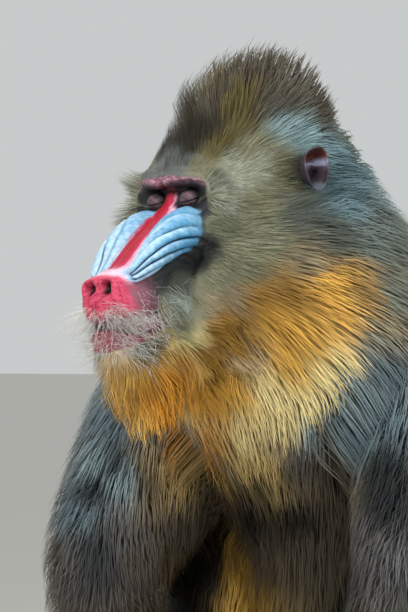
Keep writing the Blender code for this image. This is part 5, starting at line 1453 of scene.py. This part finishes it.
def nailPlates():
    # a plate for each digit: an arc across, carried forward over the tip, with a thickness
    allPoints, allTriangles, start = [], [], 0
    rows, columns = 7, 9
    each = rows * columns
    u = np.linspace(-1, 1, columns)[None, :]
    v = np.linspace(0, 1, rows)[:, None]
    grid = gridTriangles(rows, columns, closed=False)
    rim = [np.arange(0, columns), np.arange(2 * columns - 1, each, columns)]
    rim += [np.arange(each - 2, each - columns - 1, -1), np.arange(each - 2 * columns, 0, -columns)]
    rim = np.concatenate(rim)
    after = np.roll(rim, -1)
    wall = [np.stack([rim, after, after + each], -1), np.stack([rim, after + each, rim + each], -1)]
    plate = np.concatenate([grid, grid[:, ::-1] + each, *wall])
    for tip, way, thick in digitTips:
        flat = unit(way * (1, 1, 0))
        across = np.cross(flat, (0, 0, 1.0))
        wide = thick * 0.72 * (1 - 0.35 * v**3)
        arch = thick * 0.50 * np.sqrt(np.maximum(1 - (0.85 * u) ** 2, 0))
        drop = -thick * 0.35 * v**2
        base = tip - flat * thick * 0.35
        top = base + across * (wide * u)[..., None] + flat * (nails["length"] * v + 0 * u)[..., None]
        top = top + np.array((0, 0, 1.0)) * (arch + drop + thick * 0.45)[..., None]
        low = top - np.array((0, 0, 1.0)) * nails["thickness"]
        points = np.concatenate([top.reshape(-1, 3), low.reshape(-1, 3)])
        allPoints.append(points)
        allTriangles.append(plate + start)
        start += len(points)
    points = np.vstack(allPoints)
    points[:, 2] = np.maximum(points[:, 2], pose["floorGap"])
    obj = meshOf("nails", points, np.concatenate(allTriangles))
    facesOut(obj)
    return obj


def keratin():
    # nail keratin: hard, smooth and dark, with faint lengthwise streaks 0.5 mm wide
    material, tree, shader = newMaterial("nailKeratin")
    place = addNode(tree, "ShaderNodeTexCoord").outputs["Object"]
    streaks = addNode(tree, "ShaderNodeTexNoise", {"Scale": 900.0, "Detail": 2.0}, {"Vector": place})
    colours = {"data_type": "RGBA", 6: (*linear(nails["dye"]), 1), 7: (*linear(nails["streak"]), 1)}
    hue = addNode(tree, "ShaderNodeMix", colours, {"Factor": streaks.outputs["Fac"]})
    tree.links.new(hue.outputs[2], shader.inputs["Base Color"])
    shader.inputs["Roughness"].default_value = 0.35
    shader.inputs["IOR"].default_value = 1.55
    return material


dressed(nailPlates(), keratin(), "hand")
print("nails made")


# Coat: tufts over the skin

coat = {
    "roots": 232000,
    "straight": 0.035,  # hairs shorter than this are straight spikes, longer ones are bent
    "bend": 0.48,  # where along a long hair its second ring of points lies
    "sink": 0.0015,
    "reach": (4.5, 1.5, 1.08),  # how near the tips come to the outline: a beta curve and its top
    "proud": 0.05,  # share of the hairs that stand out of the coat
    "spike": 0.011,  # how far the hairs of the crown stand up
    "clump": 0.075,  # share of the hairs that others lean towards
    "longWidth": 0.68,  # half width of a tuft at its root to the width of its guide
    "shortWidth": 0.6875,
    "thickness": 0.25,  # of a tuft to its width
    "evenLight": 0.80,  # how far the hairs are shaded as the body under them is
    "darkTicked": 0.40,  # share of ticked hair that is dark, and that is light
    "lightTicked": 0.30,
    "patch": 0.003,
    "trianglesEach": {"Long": 10, "Short": 4},
    "mostTriangles": 190000,
}
limbLines = {
    "trunk": ((0, 0.03, 0.02), (0, 0.02, 0.28)),
    "chest": ((0, 0.02, 0.28), (0, -0.15, 0.50)),
    "neck": ((0, -0.15, 0.50), (0, -0.22, 0.60)),
}
limbParts = (
    ("upperArm", "shoulder", "elbow"),
    ("forearm", "elbow", "wrist"),
    ("thigh", "hip", "knee"),
    ("shin", "knee", "ankle"),
)
for limbSide, word in ((1, "Left"), (-1, "Right")):
    for name, start, end in limbParts:
        limbLines[name + word] = (mirrored(pose[start], limbSide), mirrored(pose[end], limbSide))
    for name, joint, reach in (("hand", "wrist", 0.13), ("foot", "ankle", 0.17)):
        x, y, z = mirrored(pose[joint], limbSide)
        limbLines[name + word] = ((x, y, 0.03), (x, y - reach, 0.01))
limbLines["head"] = (tuple(toWorld(np.array((0, 0.10, -0.03)))), tuple(toWorld(np.array((0, -0.09, -0.08)))))


def unwrapped(points):
    # each part of the body is a cylinder rolled out into its own cell of the map: angle across, length up
    best = np.full(len(points), np.inf)
    place = np.zeros((len(points), 2))
    for index, (start, end) in enumerate(limbLines.values()):
        a, b = np.array(start), np.array(end)
        length = np.linalg.norm(b - a)
        along = (b - a) / length
        other = unit(np.cross(along, (0.13, 0.99, 0.05)))
        third = np.cross(along, other)
        offset = points - a
        share = offset @ along / length
        foot = a + np.clip(share, 0, 1)[:, None] * (b - a)
        radius = 0.13 if index < 3 or index == len(limbLines) - 1 else 0.05
        gap = np.linalg.norm(points - foot, axis=1) - radius
        here = gap < best
        turn = np.arctan2(offset @ third, offset @ other) / (2 * math.pi) + 0.5
        rise = np.clip((share + 0.6) / 2.2, 0, 1)
        cell = np.array((index % 4, index // 4)) / 4
        value = cell + 0.006 + np.stack([turn, rise], -1) * (0.25 - 0.012)
        place[here] = value[here]
        best[here] = gap[here]
    return place


def spreadRoots(obj, count, density):
    # roots set evenly over the skin: one in each equal share of area times density, in the order of the faces
    mesh = obj.data
    mesh.calc_loop_triangles()
    corners = np.empty(len(mesh.loop_triangles) * 3, np.int32)
    mesh.loop_triangles.foreach_get("vertices", corners)
    points = pointsOf(obj)
    triangle = points[corners.reshape(-1, 3)]
    a, b = triangle[:, 1] - triangle[:, 0], triangle[:, 2] - triangle[:, 0]
    area = np.linalg.norm(np.cross(a, b), axis=1)
    weight = np.cumsum(area * density(triangle.mean(1)))
    ticks = (np.arange(count) + draw.random(count)) / count * weight[-1]
    face = np.searchsorted(weight, ticks).clip(0, len(area) - 1)
    u, v = draw.random(count), draw.random(count)
    folded = u + v > 1
    u[folded], v[folded] = 1 - u[folded], 1 - v[folded]
    roots = triangle[face, 0] + a[face] * u[:, None] + b[face] * v[:, None]
    vertexNormals = normalsOf(obj)[corners.reshape(-1, 3)[face]]
    share = np.stack([1 - u - v, u, v], -1)[..., None]
    return roots, unit((vertexNormals * share).sum(1))


def nearest(tree, points):
    found = [tree.find_nearest(Vector(p)) for p in points]
    place = np.array([f[0] for f in found])
    normal = np.array([f[1] for f in found])
    gap = np.array([f[3] for f in found])
    return place, normal, gap


def kept(points):
    # points held above the floor and close to the box of the solids
    low, high = np.array(cadBox[0]) - 0.012, np.array(cadBox[1]) + 0.012
    low[2] = 0.0015
    return np.clip(points, low, high)


def coatPlan(roots, normals):
    # for each root: the skin's normal, middle and tip of the hair, its width, its colours and ticking
    count = len(roots)
    value = coatAt(roots)
    way, length, lift, width = value[:, :3], value[:, 3], value[:, 4], value[:, 5]
    length = length * draw.uniform(0.72, 1.12, count)
    stray = unit(draw.normal(size=(count, 3)))
    wave = np.stack([wobble(roots, 0.018, s) for s in (31, 32, 33)], -1)
    way = unit(way) + stray * np.interp(length, (0.02, 0.045), (0.14, 0.09))[:, None] + wave * 0.11
    way = unit(way - normals * np.minimum((way * normals).sum(1), 0)[:, None])
    depth = nearest(outlineTree, roots)[2]
    ahead = roots + way * length[:, None] * 0.9 + normals * (depth * 0.5)[:, None]
    foot, footNormal, _ = nearest(skinTree, ahead)
    there = nearest(outlineTree, foot)[2]
    facing = (footNormal * normals).sum(1)
    footNormal = np.where((facing < 0.2)[:, None], normals, footNormal)
    height = np.maximum(there, 0.0012) * draw.beta(*coat["reach"][:2], count) * coat["reach"][2]
    proud = draw.random(count) < coat["proud"]
    height = np.where(proud, height + 0.10 * length, height)
    local = toHead(roots)
    spiky = smoothStep(0.034, 0.062, local[:, 2]) * smoothStep(0.17, 0.12, local[:, 1])
    height = height + spiky * coat["spike"] * draw.random(count) ** 0.7
    tip = foot + footNormal * height[:, None]
    astray = (unit(tip - roots) * way).sum(1) < 0.3
    hanging = np.maximum(smoothStep(0.75, 1.05, lift), astray)
    hung = roots + unit(way + normals * 0.25) * (length * np.where(astray, 0.5, 1.0))[:, None]
    tip = mix(tip, hung, hanging)
    run = np.linalg.norm(tip - roots, axis=1)
    tip = roots + (tip - roots) * np.minimum(1, 1.15 * length / np.maximum(run, 1e-6))[:, None]
    # a straight hair is raised where the skin bulges between its root and its tip
    half = roots * 0.5 + tip * 0.5
    on, bulge, _ = nearest(skinTree, half)
    sunk = np.maximum(((on - half) * bulge).sum(1) + 0.0007, 0) * (length < coat["straight"])
    tip = tip + bulge * np.minimum(2 * sunk, 0.6 * length)[:, None]
    bow = 0.10 * run * (0.6 + np.minimum(lift, 1)) + 0.20 * height
    middle = roots * 0.5 + tip * 0.5 + unit(normals + footNormal) * bow[:, None]
    # hairs lean towards the tip of a neighbour, so that they part into locks
    leaders = np.flatnonzero(draw.random(count) < coat["clump"])
    finder = KDTree(len(leaders))
    for number, place in enumerate(roots[leaders]):
        finder.insert(place, number)
    finder.balance()
    leader = leaders[np.array([finder.find(place)[1] for place in roots])]
    lean = np.interp(length, (0.006, 0.020, 0.060), (0.06, 0.14, 0.09)) + 0.26 * spiky
    goal = tip[leader] + (roots - roots[leader]) * 0.25
    near = np.linalg.norm(roots - roots[leader], axis=1) < 0.35 * length + 0.002
    lean = (lean * near * draw.uniform(0.5, 1.2, count))[:, None]
    middle = middle + (goal - tip) * lean * 0.30
    tip = tip + (goal - tip) * lean
    colour = coatColour(roots * 0.25 + tip * 0.75)
    return normals, kept(middle), kept(tip), length, width, colour[:, :3], colour[:, 3]


def tuftMesh(name, roots, plan, bent):
    # each tuft is a flat three-sided spike from its sunk root to its tip, with a second ring where it bends
    normals, middle, tip, length, width, dye, ticked = plan
    stations = np.array((0.0, coat["bend"]) if bent else (0.0,))
    count, rings = len(roots), len(stations)
    s = stations[None, :, None]
    base = roots - normals * coat["sink"]
    bow = 2 * middle - 0.5 * (base + tip) if bent else 0.5 * (base + tip)
    centre = base[:, None] * (1 - s) ** 2 + bow[:, None] * 2 * s * (1 - s) + tip[:, None] * s**2
    ahead = unit(2 * (1 - s) * (bow - base)[:, None] + 2 * s * (tip - bow)[:, None])
    across = unit(np.cross(normals[:, None], ahead))
    up = np.cross(ahead, across)
    fat = np.interp(stations, (0, 0.5, 1), (1.0, 0.85, 0))[None, :, None]
    half = width[:, None, None] * fat * coat["longWidth" if bent else "shortWidth"]
    corner = np.array((0.5, 2.5, 4.5)) * math.pi / 3
    spoke = across[:, :, None] * np.cos(corner)[:, None]
    spoke = spoke + up[:, :, None] * (coat["thickness"] * np.sin(corner))[:, None]
    ring = centre[:, :, None] + spoke * half[..., None]
    points = np.concatenate([ring.reshape(count, rings * 3, 3), tip[:, None]], 1)
    each = rings * 3 + 1
    faces = [(2, 1, 0)]
    for i in range(rings - 1):
        for j in range(3):
            k = (j + 1) % 3
            faces += [(i * 3 + j, i * 3 + k, i * 3 + 3 + k), (i * 3 + j, i * 3 + 3 + k, i * 3 + 3 + j)]
    faces += [((rings - 1) * 3 + j, (rings - 1) * 3 + (j + 1) % 3, rings * 3) for j in range(3)]
    triangles = (np.arange(count)[:, None, None] * each + np.array(faces)[None]).reshape(-1, 3)
    obj = meshOf(name, points.reshape(-1, 3), triangles)
    # light falls on the hairs much as on the body they lie on
    own = np.concatenate([unit(spoke).reshape(count, rings * 3, 3), up[:, -1:]], 1)
    soft = unit(own * (1 - coat["evenLight"]) + normals[:, None] * coat["evenLight"])
    layer = obj.data.attributes.new("custom_normal", "FLOAT_VECTOR", "POINT")
    layer.data.foreach_set("vector", np.ascontiguousarray(soft, np.float32).ravel())
    share = np.concatenate([np.repeat(stations, 3), [1.0]])
    chance = draw.random(count)
    dark = (chance < ticked * coat["darkTicked"])[:, None, None]
    light = (chance > 1 - ticked * coat["lightTicked"])[:, None, None]
    band = share[None, :, None]
    tone = dye[:, None] * (0.70 + 0.42 * band**0.8)
    faint = np.interp(length, (0.020, 0.045), (0.0, 0.6))[:, None, None]
    tone = np.where(dark, tone * (0.50 + 0.10 * band + 0.50 * faint), tone)
    tone = np.where(light, tone * (1.15 + (0.50 - 0.45 * faint) * band), tone)
    spread = np.interp(length, (0.010, 0.045), (0.34, 0.14))[:, None, None]
    tone = tone * (1 + spread * draw.uniform(-1, 1, (count, 1, 1)))
    tone = tone * (1 + 0.10 * wobble(roots, 0.014, 41)[:, None, None])
    paint(obj, "hue", np.clip(tone, 0, 1).reshape(-1, 3))
    shift = np.stack([np.concatenate([np.tile((-0.5, 0, 0.5), rings), [0.0]]), share], -1) * coat["patch"]
    uv = (unwrapped(roots)[:, None] + shift[None]).reshape(-1, 2)
    layer = obj.data.uv_layers.new(name="OFBake")
    layer.uv.foreach_set("vector", np.ascontiguousarray(uv[triangles.ravel()], np.float32).ravel())
    return obj


def hairDensity(points):
    # tufts to an area: enough of them that a few lie over each other everywhere, and more beside the eye
    value = coatAt(points)
    q = points * 1000
    paw = (q[:, 2] < 34) & (q[:, 1] < -262)
    thick = 1 / (value[:, 5] * (value[:, 3] + 0.006))
    thick = thick * np.where(q[:, 2] < 250, 0.62, 1.0) * np.where(q[:, 1] > 0, 0.75, 1.0)
    p = toHead(points) * 1000 * np.array((1, 1, 0.6))
    besideEye = ((np.abs(p[:, 0]) - 52) ** 2 + (p[:, 1] - 6) ** 2 + (p[:, 2] + 4) ** 2) / 250
    thick = thick * (1 + 1.6 * np.exp(-besideEye))
    return thick * (1 - bareness(points)) * np.where(paw, 0.3, 1.0) * (q[:, 2] > 4)


def agoutiHair():
    # hair: each shaft is ticked light and dark; a soft sheen runs along it and nothing is mirror bright
    material, tree, shader = newMaterial("agoutiHair")
    place = addNode(tree, "ShaderNodeTexCoord").outputs["Object"]
    hue = addNode(tree, "ShaderNodeAttribute", {"attribute_name": "hue"})
    strands = addNode(tree, "ShaderNodeTexNoise", {"Scale": 700.0, "Detail": 2.0}, {"Vector": place})
    brightness = addNode(
        tree, "ShaderNodeMapRange", {"To Min": 0.80, "To Max": 1.20}, {"Value": strands.outputs["Fac"]}
    )
    tint = addNode(tree, "ShaderNodeVectorMath", {"operation": "SCALE"}, {"Vector": hue.outputs["Color"]})
    tree.links.new(brightness.outputs["Result"], tint.inputs["Scale"])
    tree.links.new(tint.outputs["Vector"], shader.inputs["Base Color"])
    shader.inputs["Roughness"].default_value = 0.60
    shader.inputs["IOR"].default_value = 1.55
    shader.inputs["Specular IOR Level"].default_value = 0.25
    return material


hairRoots, hairNormals = spreadRoots(skin, coat["roots"], hairDensity)
print("roots", len(hairRoots))
hairPlan = coatPlan(hairRoots, hairNormals)
print("plan made")
hairMaterial = agoutiHair()
headLocal = toHead(hairRoots)
headWide = np.abs(headLocal[:, 0])
onHead = (headLocal[:, 1] < 0.165) & (headLocal[:, 2] > -0.105) & (headWide < 0.10)
regions = {
    "crownHair": onHead & (headLocal[:, 2] > 0.030),
    "cheekHairLeft": onHead & (headLocal[:, 2] <= 0.030) & (headLocal[:, 0] > 0),
    "cheekHairRight": onHead & (headLocal[:, 2] <= 0.030) & (headLocal[:, 0] <= 0),
    "beardHair": ~onHead & (headLocal[:, 1] < 0.0) & (headLocal[:, 2] > -0.26) & (headWide < 0.075),
    "ruffHair": (hairRoots[:, 2] > 0.37) & (hairRoots[:, 1] < -0.16),
    "mantleHair": hairRoots[:, 2] > 0.40,
    "bodyHair": hairRoots[:, 2] > 0.20,
    "limbHair": hairRoots[:, 2] <= 0.20,
}
coatSlots = {
    "beardHair": "lower_jaw",
    "ruffHair": "neck",
    "mantleHair": "chest",
    "bodyHair": "hips",
    "limbHair": "forearm",
}
free = np.ones(len(hairRoots), bool)
total = 0
longHair = hairPlan[3] > coat["straight"]
for regionName, within in regions.items():
    chosen = within & free
    free &= ~chosen
    for kind, sort in (("Long", chosen & longHair), ("Short", chosen & ~longHair)):
        index = np.flatnonzero(sort)
        if not len(index):
            continue
        pieces = max(1, math.ceil(len(index) * coat["trianglesEach"][kind] / coat["mostTriangles"]))
        for number, share in enumerate(np.array_split(index, pieces)):
            plan = [column[share] for column in hairPlan]
            tuft = tuftMesh(f"{regionName}{kind}{number + 1}", hairRoots[share], plan, kind == "Long")
            dressed(tuft, hairMaterial, coatSlots.get(regionName, "head"))
            total += len(tuft.data.polygons)
print("coat triangles", total)


# Bristles: stiff pale curling hairs on the lips, chin and muzzle, and whiskers

bristles = {
    "count": 1400,
    "radius": 0.00017,
    "whiskers": 420,
    "whiskerLength": 0.036,
    "dye": "#dde2e4",
    "fleck": "#cfc8ba",
    "segments": 5,
}


def bristleMesh():
    # a three-sided tube along a curl: each step turns the way of the hair by a little more
    points = pointsOf(skin)
    local = toHead(points)
    normals = normalsOf(skin)
    gap = local[:, 2] - mouthLine(local[:, 1])
    width = np.abs(local[:, 0])
    lip = (local[:, 1] < -0.042) & (gap > 0.001) & (gap < 0.017)
    low = (local[:, 1] < -0.048) & (gap < -0.001) & (gap > -0.012)
    cheek = (local[:, 1] < -0.024) & (local[:, 1] > -0.072) & (gap > 0.010) & (gap < 0.036) & (width > 0.022)
    chin = (local[:, 1] < -0.070) & (gap < -0.012) & (gap > -0.030)
    spots = smoothStep(-1.0, 0.4, wobble(points, 0.009, 51))
    weight = (lip * 1.0 + low * 0.55 + cheek * 0.30 + chin * 0.8) * spots
    pick = draw.choice(len(points), bristles["count"], replace=False, p=weight / weight.sum())
    sideLip = ((local[:, 1] < -0.070) & (gap > -0.022) & (gap < 0.022) & (width > 0.012)) * 1.0
    more = draw.choice(len(points), bristles["whiskers"], replace=False, p=sideLip / sideLip.sum())
    long = np.concatenate([np.zeros(len(pick), bool), np.ones(len(more), bool)])
    pick = np.concatenate([pick, more])
    count = len(pick)
    root, normal, place = points[pick], normals[pick], local[pick]
    side = np.sign(place[:, 0])[:, None] * headTurn[:, 0]
    down, back = -headTurn[:, 2], headTurn[:, 1]
    way = normal * 0.75 + side * 0.45 + down * draw.uniform(0.0, 1.0, (count, 1))
    way = way + draw.normal(size=(count, 3)) * 0.35 - back * 0.15
    out = normal * 0.6 + side * 1.1 + down * draw.uniform(-0.1, 0.5, (count, 1))
    out = out + draw.normal(size=(count, 3)) * 0.2 + back * 0.15
    way = unit(np.where(long[:, None], out, way))
    length = draw.uniform(0.004, 0.011, count)
    longer = draw.random(count) < np.where(place[:, 2] > -0.100, 0.35, 0.10)
    length = length + 0.016 * longer
    length = np.where(long, bristles["whiskerLength"] * draw.uniform(0.55, 1.0, count), length)
    curl = unit(draw.normal(size=(count, 3)) + down * 0.8)
    steps = bristles["segments"]
    t = np.linspace(0, 1, steps + 1)[None, :, None]
    bend = draw.uniform(0.1, 0.7, (count, 1, 1)) * np.where(long, 0.5, 1.0)[:, None, None]
    line = root[:, None] + way[:, None] * (length[:, None, None] * t)
    line = line + curl[:, None] * (length[:, None, None] * bend * t**2)
    line = kept(line.reshape(-1, 3)).reshape(line.shape)
    ahead = unit(np.gradient(line, axis=1))
    across = unit(np.cross(ahead, curl[:, None] + 0.01))
    up = np.cross(ahead, across)
    radius = bristles["radius"] * (1 - 0.75 * t)
    corner = np.array((0, 2, 4)) * math.pi / 3
    ring = line[:, :, None] + across[:, :, None] * (radius * np.cos(corner))[..., None]
    ring = ring + up[:, :, None] * (radius * np.sin(corner))[..., None]
    each = (steps + 1) * 3
    ends = np.array([(2, 1, 0), (each - 3, each - 2, each - 1)])
    faces = np.concatenate([gridTriangles(steps + 1, 3), ends])
    triangles = (np.arange(count)[:, None, None] * each + faces[None]).reshape(-1, 3)
    obj = meshOf("bristles", ring.reshape(-1, 3), triangles)
    facesOut(obj)
    return obj


def paleBristle():
    # unpigmented bristle: almost white and slightly glossy
    material, tree, shader = newMaterial("paleBristle")
    place = addNode(tree, "ShaderNodeTexCoord").outputs["Object"]
    fleck = addNode(tree, "ShaderNodeTexNoise", {"Scale": 300.0}, {"Vector": place})
    colours = {"data_type": "RGBA", 6: (*linear(bristles["dye"]), 1), 7: (*linear(bristles["fleck"]), 1)}
    hue = addNode(tree, "ShaderNodeMix", colours, {"Factor": fleck.outputs["Fac"]})
    tree.links.new(hue.outputs[2], shader.inputs["Base Color"])
    shader.inputs["Roughness"].default_value = 0.45
    return material


dressed(bristleMesh(), paleBristle(), "lower_jaw")
print("bristles made")


# Studio: pale floor, soft lights and the camera

studio = {
    "floor": "#d9d6cf",
    "sky": "#cfd2d2",
    "skyPower": 0.92,
    "cameraTurn": math.radians(33),
    "distance": 5.0,
    "picture": (408, 612),  # size of the photo, whose scale is in pixels a metre
    "perMetre": 1130,
    "nasion": (169.3, 197.0),  # where the bridge of the nose is in it
    # each light's name, place, target, width in metres, watts and colour
    "lights": (
        ("keyLight", (0.2, -2.2, 2.3), (-0.02, -0.25, 0.5), 1.6, 64, (1.0, 0.98, 0.95)),
        ("fillLight", (2.4, -1.2, 1.2), (0, -0.2, 0.45), 1.8, 23, (0.94, 0.97, 1.0)),
        ("rimLight", (-1.6, 1.6, 2.2), (0, -0.1, 0.5), 1.2, 32, (1.0, 0.98, 0.96)),
    ),
}


def studioFloor():
    half = 30.0
    points = np.array([(-half, -half, 0), (half, -half, 0), (half, half, 0), (-half, half, 0)])
    obj = meshOf("floor", points, np.array([(0, 1, 2), (0, 2, 3)]), smooth=False)
    material, tree, shader = newMaterial("paintedFloor")
    place = addNode(tree, "ShaderNodeTexCoord").outputs["Object"]
    mottle = addNode(tree, "ShaderNodeTexNoise", {"Scale": 3.0}, {"Vector": place})
    pale = linear(studio["floor"])
    colours = {"data_type": "RGBA", 6: (*pale, 1), 7: (*(pale * 0.94), 1)}
    hue = addNode(tree, "ShaderNodeMix", colours, {"Factor": mottle.outputs["Fac"]})
    tree.links.new(hue.outputs[2], shader.inputs["Base Color"])
    shader.inputs["Roughness"].default_value = 0.8
    obj.data.materials.append(material)


def softLight(name, place, target, size, power, colour):
    lamp = bpy.data.lights.new(name, "AREA")
    lamp.shape = "DISK"
    lamp.size = size
    lamp.energy = power
    lamp.color = colour
    obj = bpy.data.objects.new(name, lamp)
    bpy.context.scene.collection.objects.link(obj)
    obj.location = place
    obj.rotation_euler = (Vector(target) - Vector(place)).to_track_quat("-Z", "Y").to_euler()


def studioCamera():
    turn = studio["cameraTurn"]
    right = Vector((math.cos(turn), math.sin(turn), 0))
    back = Vector((math.sin(turn), -math.cos(turn), 0))
    wide, tall = studio["picture"]
    perMetre = studio["perMetre"]
    x, y = studio["nasion"]
    target = Vector(pose["bridge"]) + right * ((wide / 2 - x) / perMetre)
    target += Vector((0, 0, 1)) * ((y - tall / 2) / perMetre)
    camera = bpy.data.cameras.new("camera")
    camera.sensor_width = 36
    camera.lens = 36 * studio["distance"] / (tall / perMetre)
    camera.clip_start, camera.clip_end = 0.1, 100
    obj = bpy.data.objects.new("camera", camera)
    bpy.context.scene.collection.objects.link(obj)
    obj.location = target + back * studio["distance"]
    obj.rotation_euler = (-back).to_track_quat("-Z", "Y").to_euler()
    bpy.context.scene.camera = obj


studioFloor()
for light in studio["lights"]:
    softLight(*light)
world = bpy.data.worlds.new("studioSky")
world.use_nodes = True
world.node_tree.nodes["Background"].inputs["Color"].default_value = (*linear(studio["sky"]), 1)
world.node_tree.nodes["Background"].inputs["Strength"].default_value = studio["skyPower"]
bpy.context.scene.world = world
bpy.context.scene.view_settings.view_transform = "Standard"
studioCamera()
print("studio made")
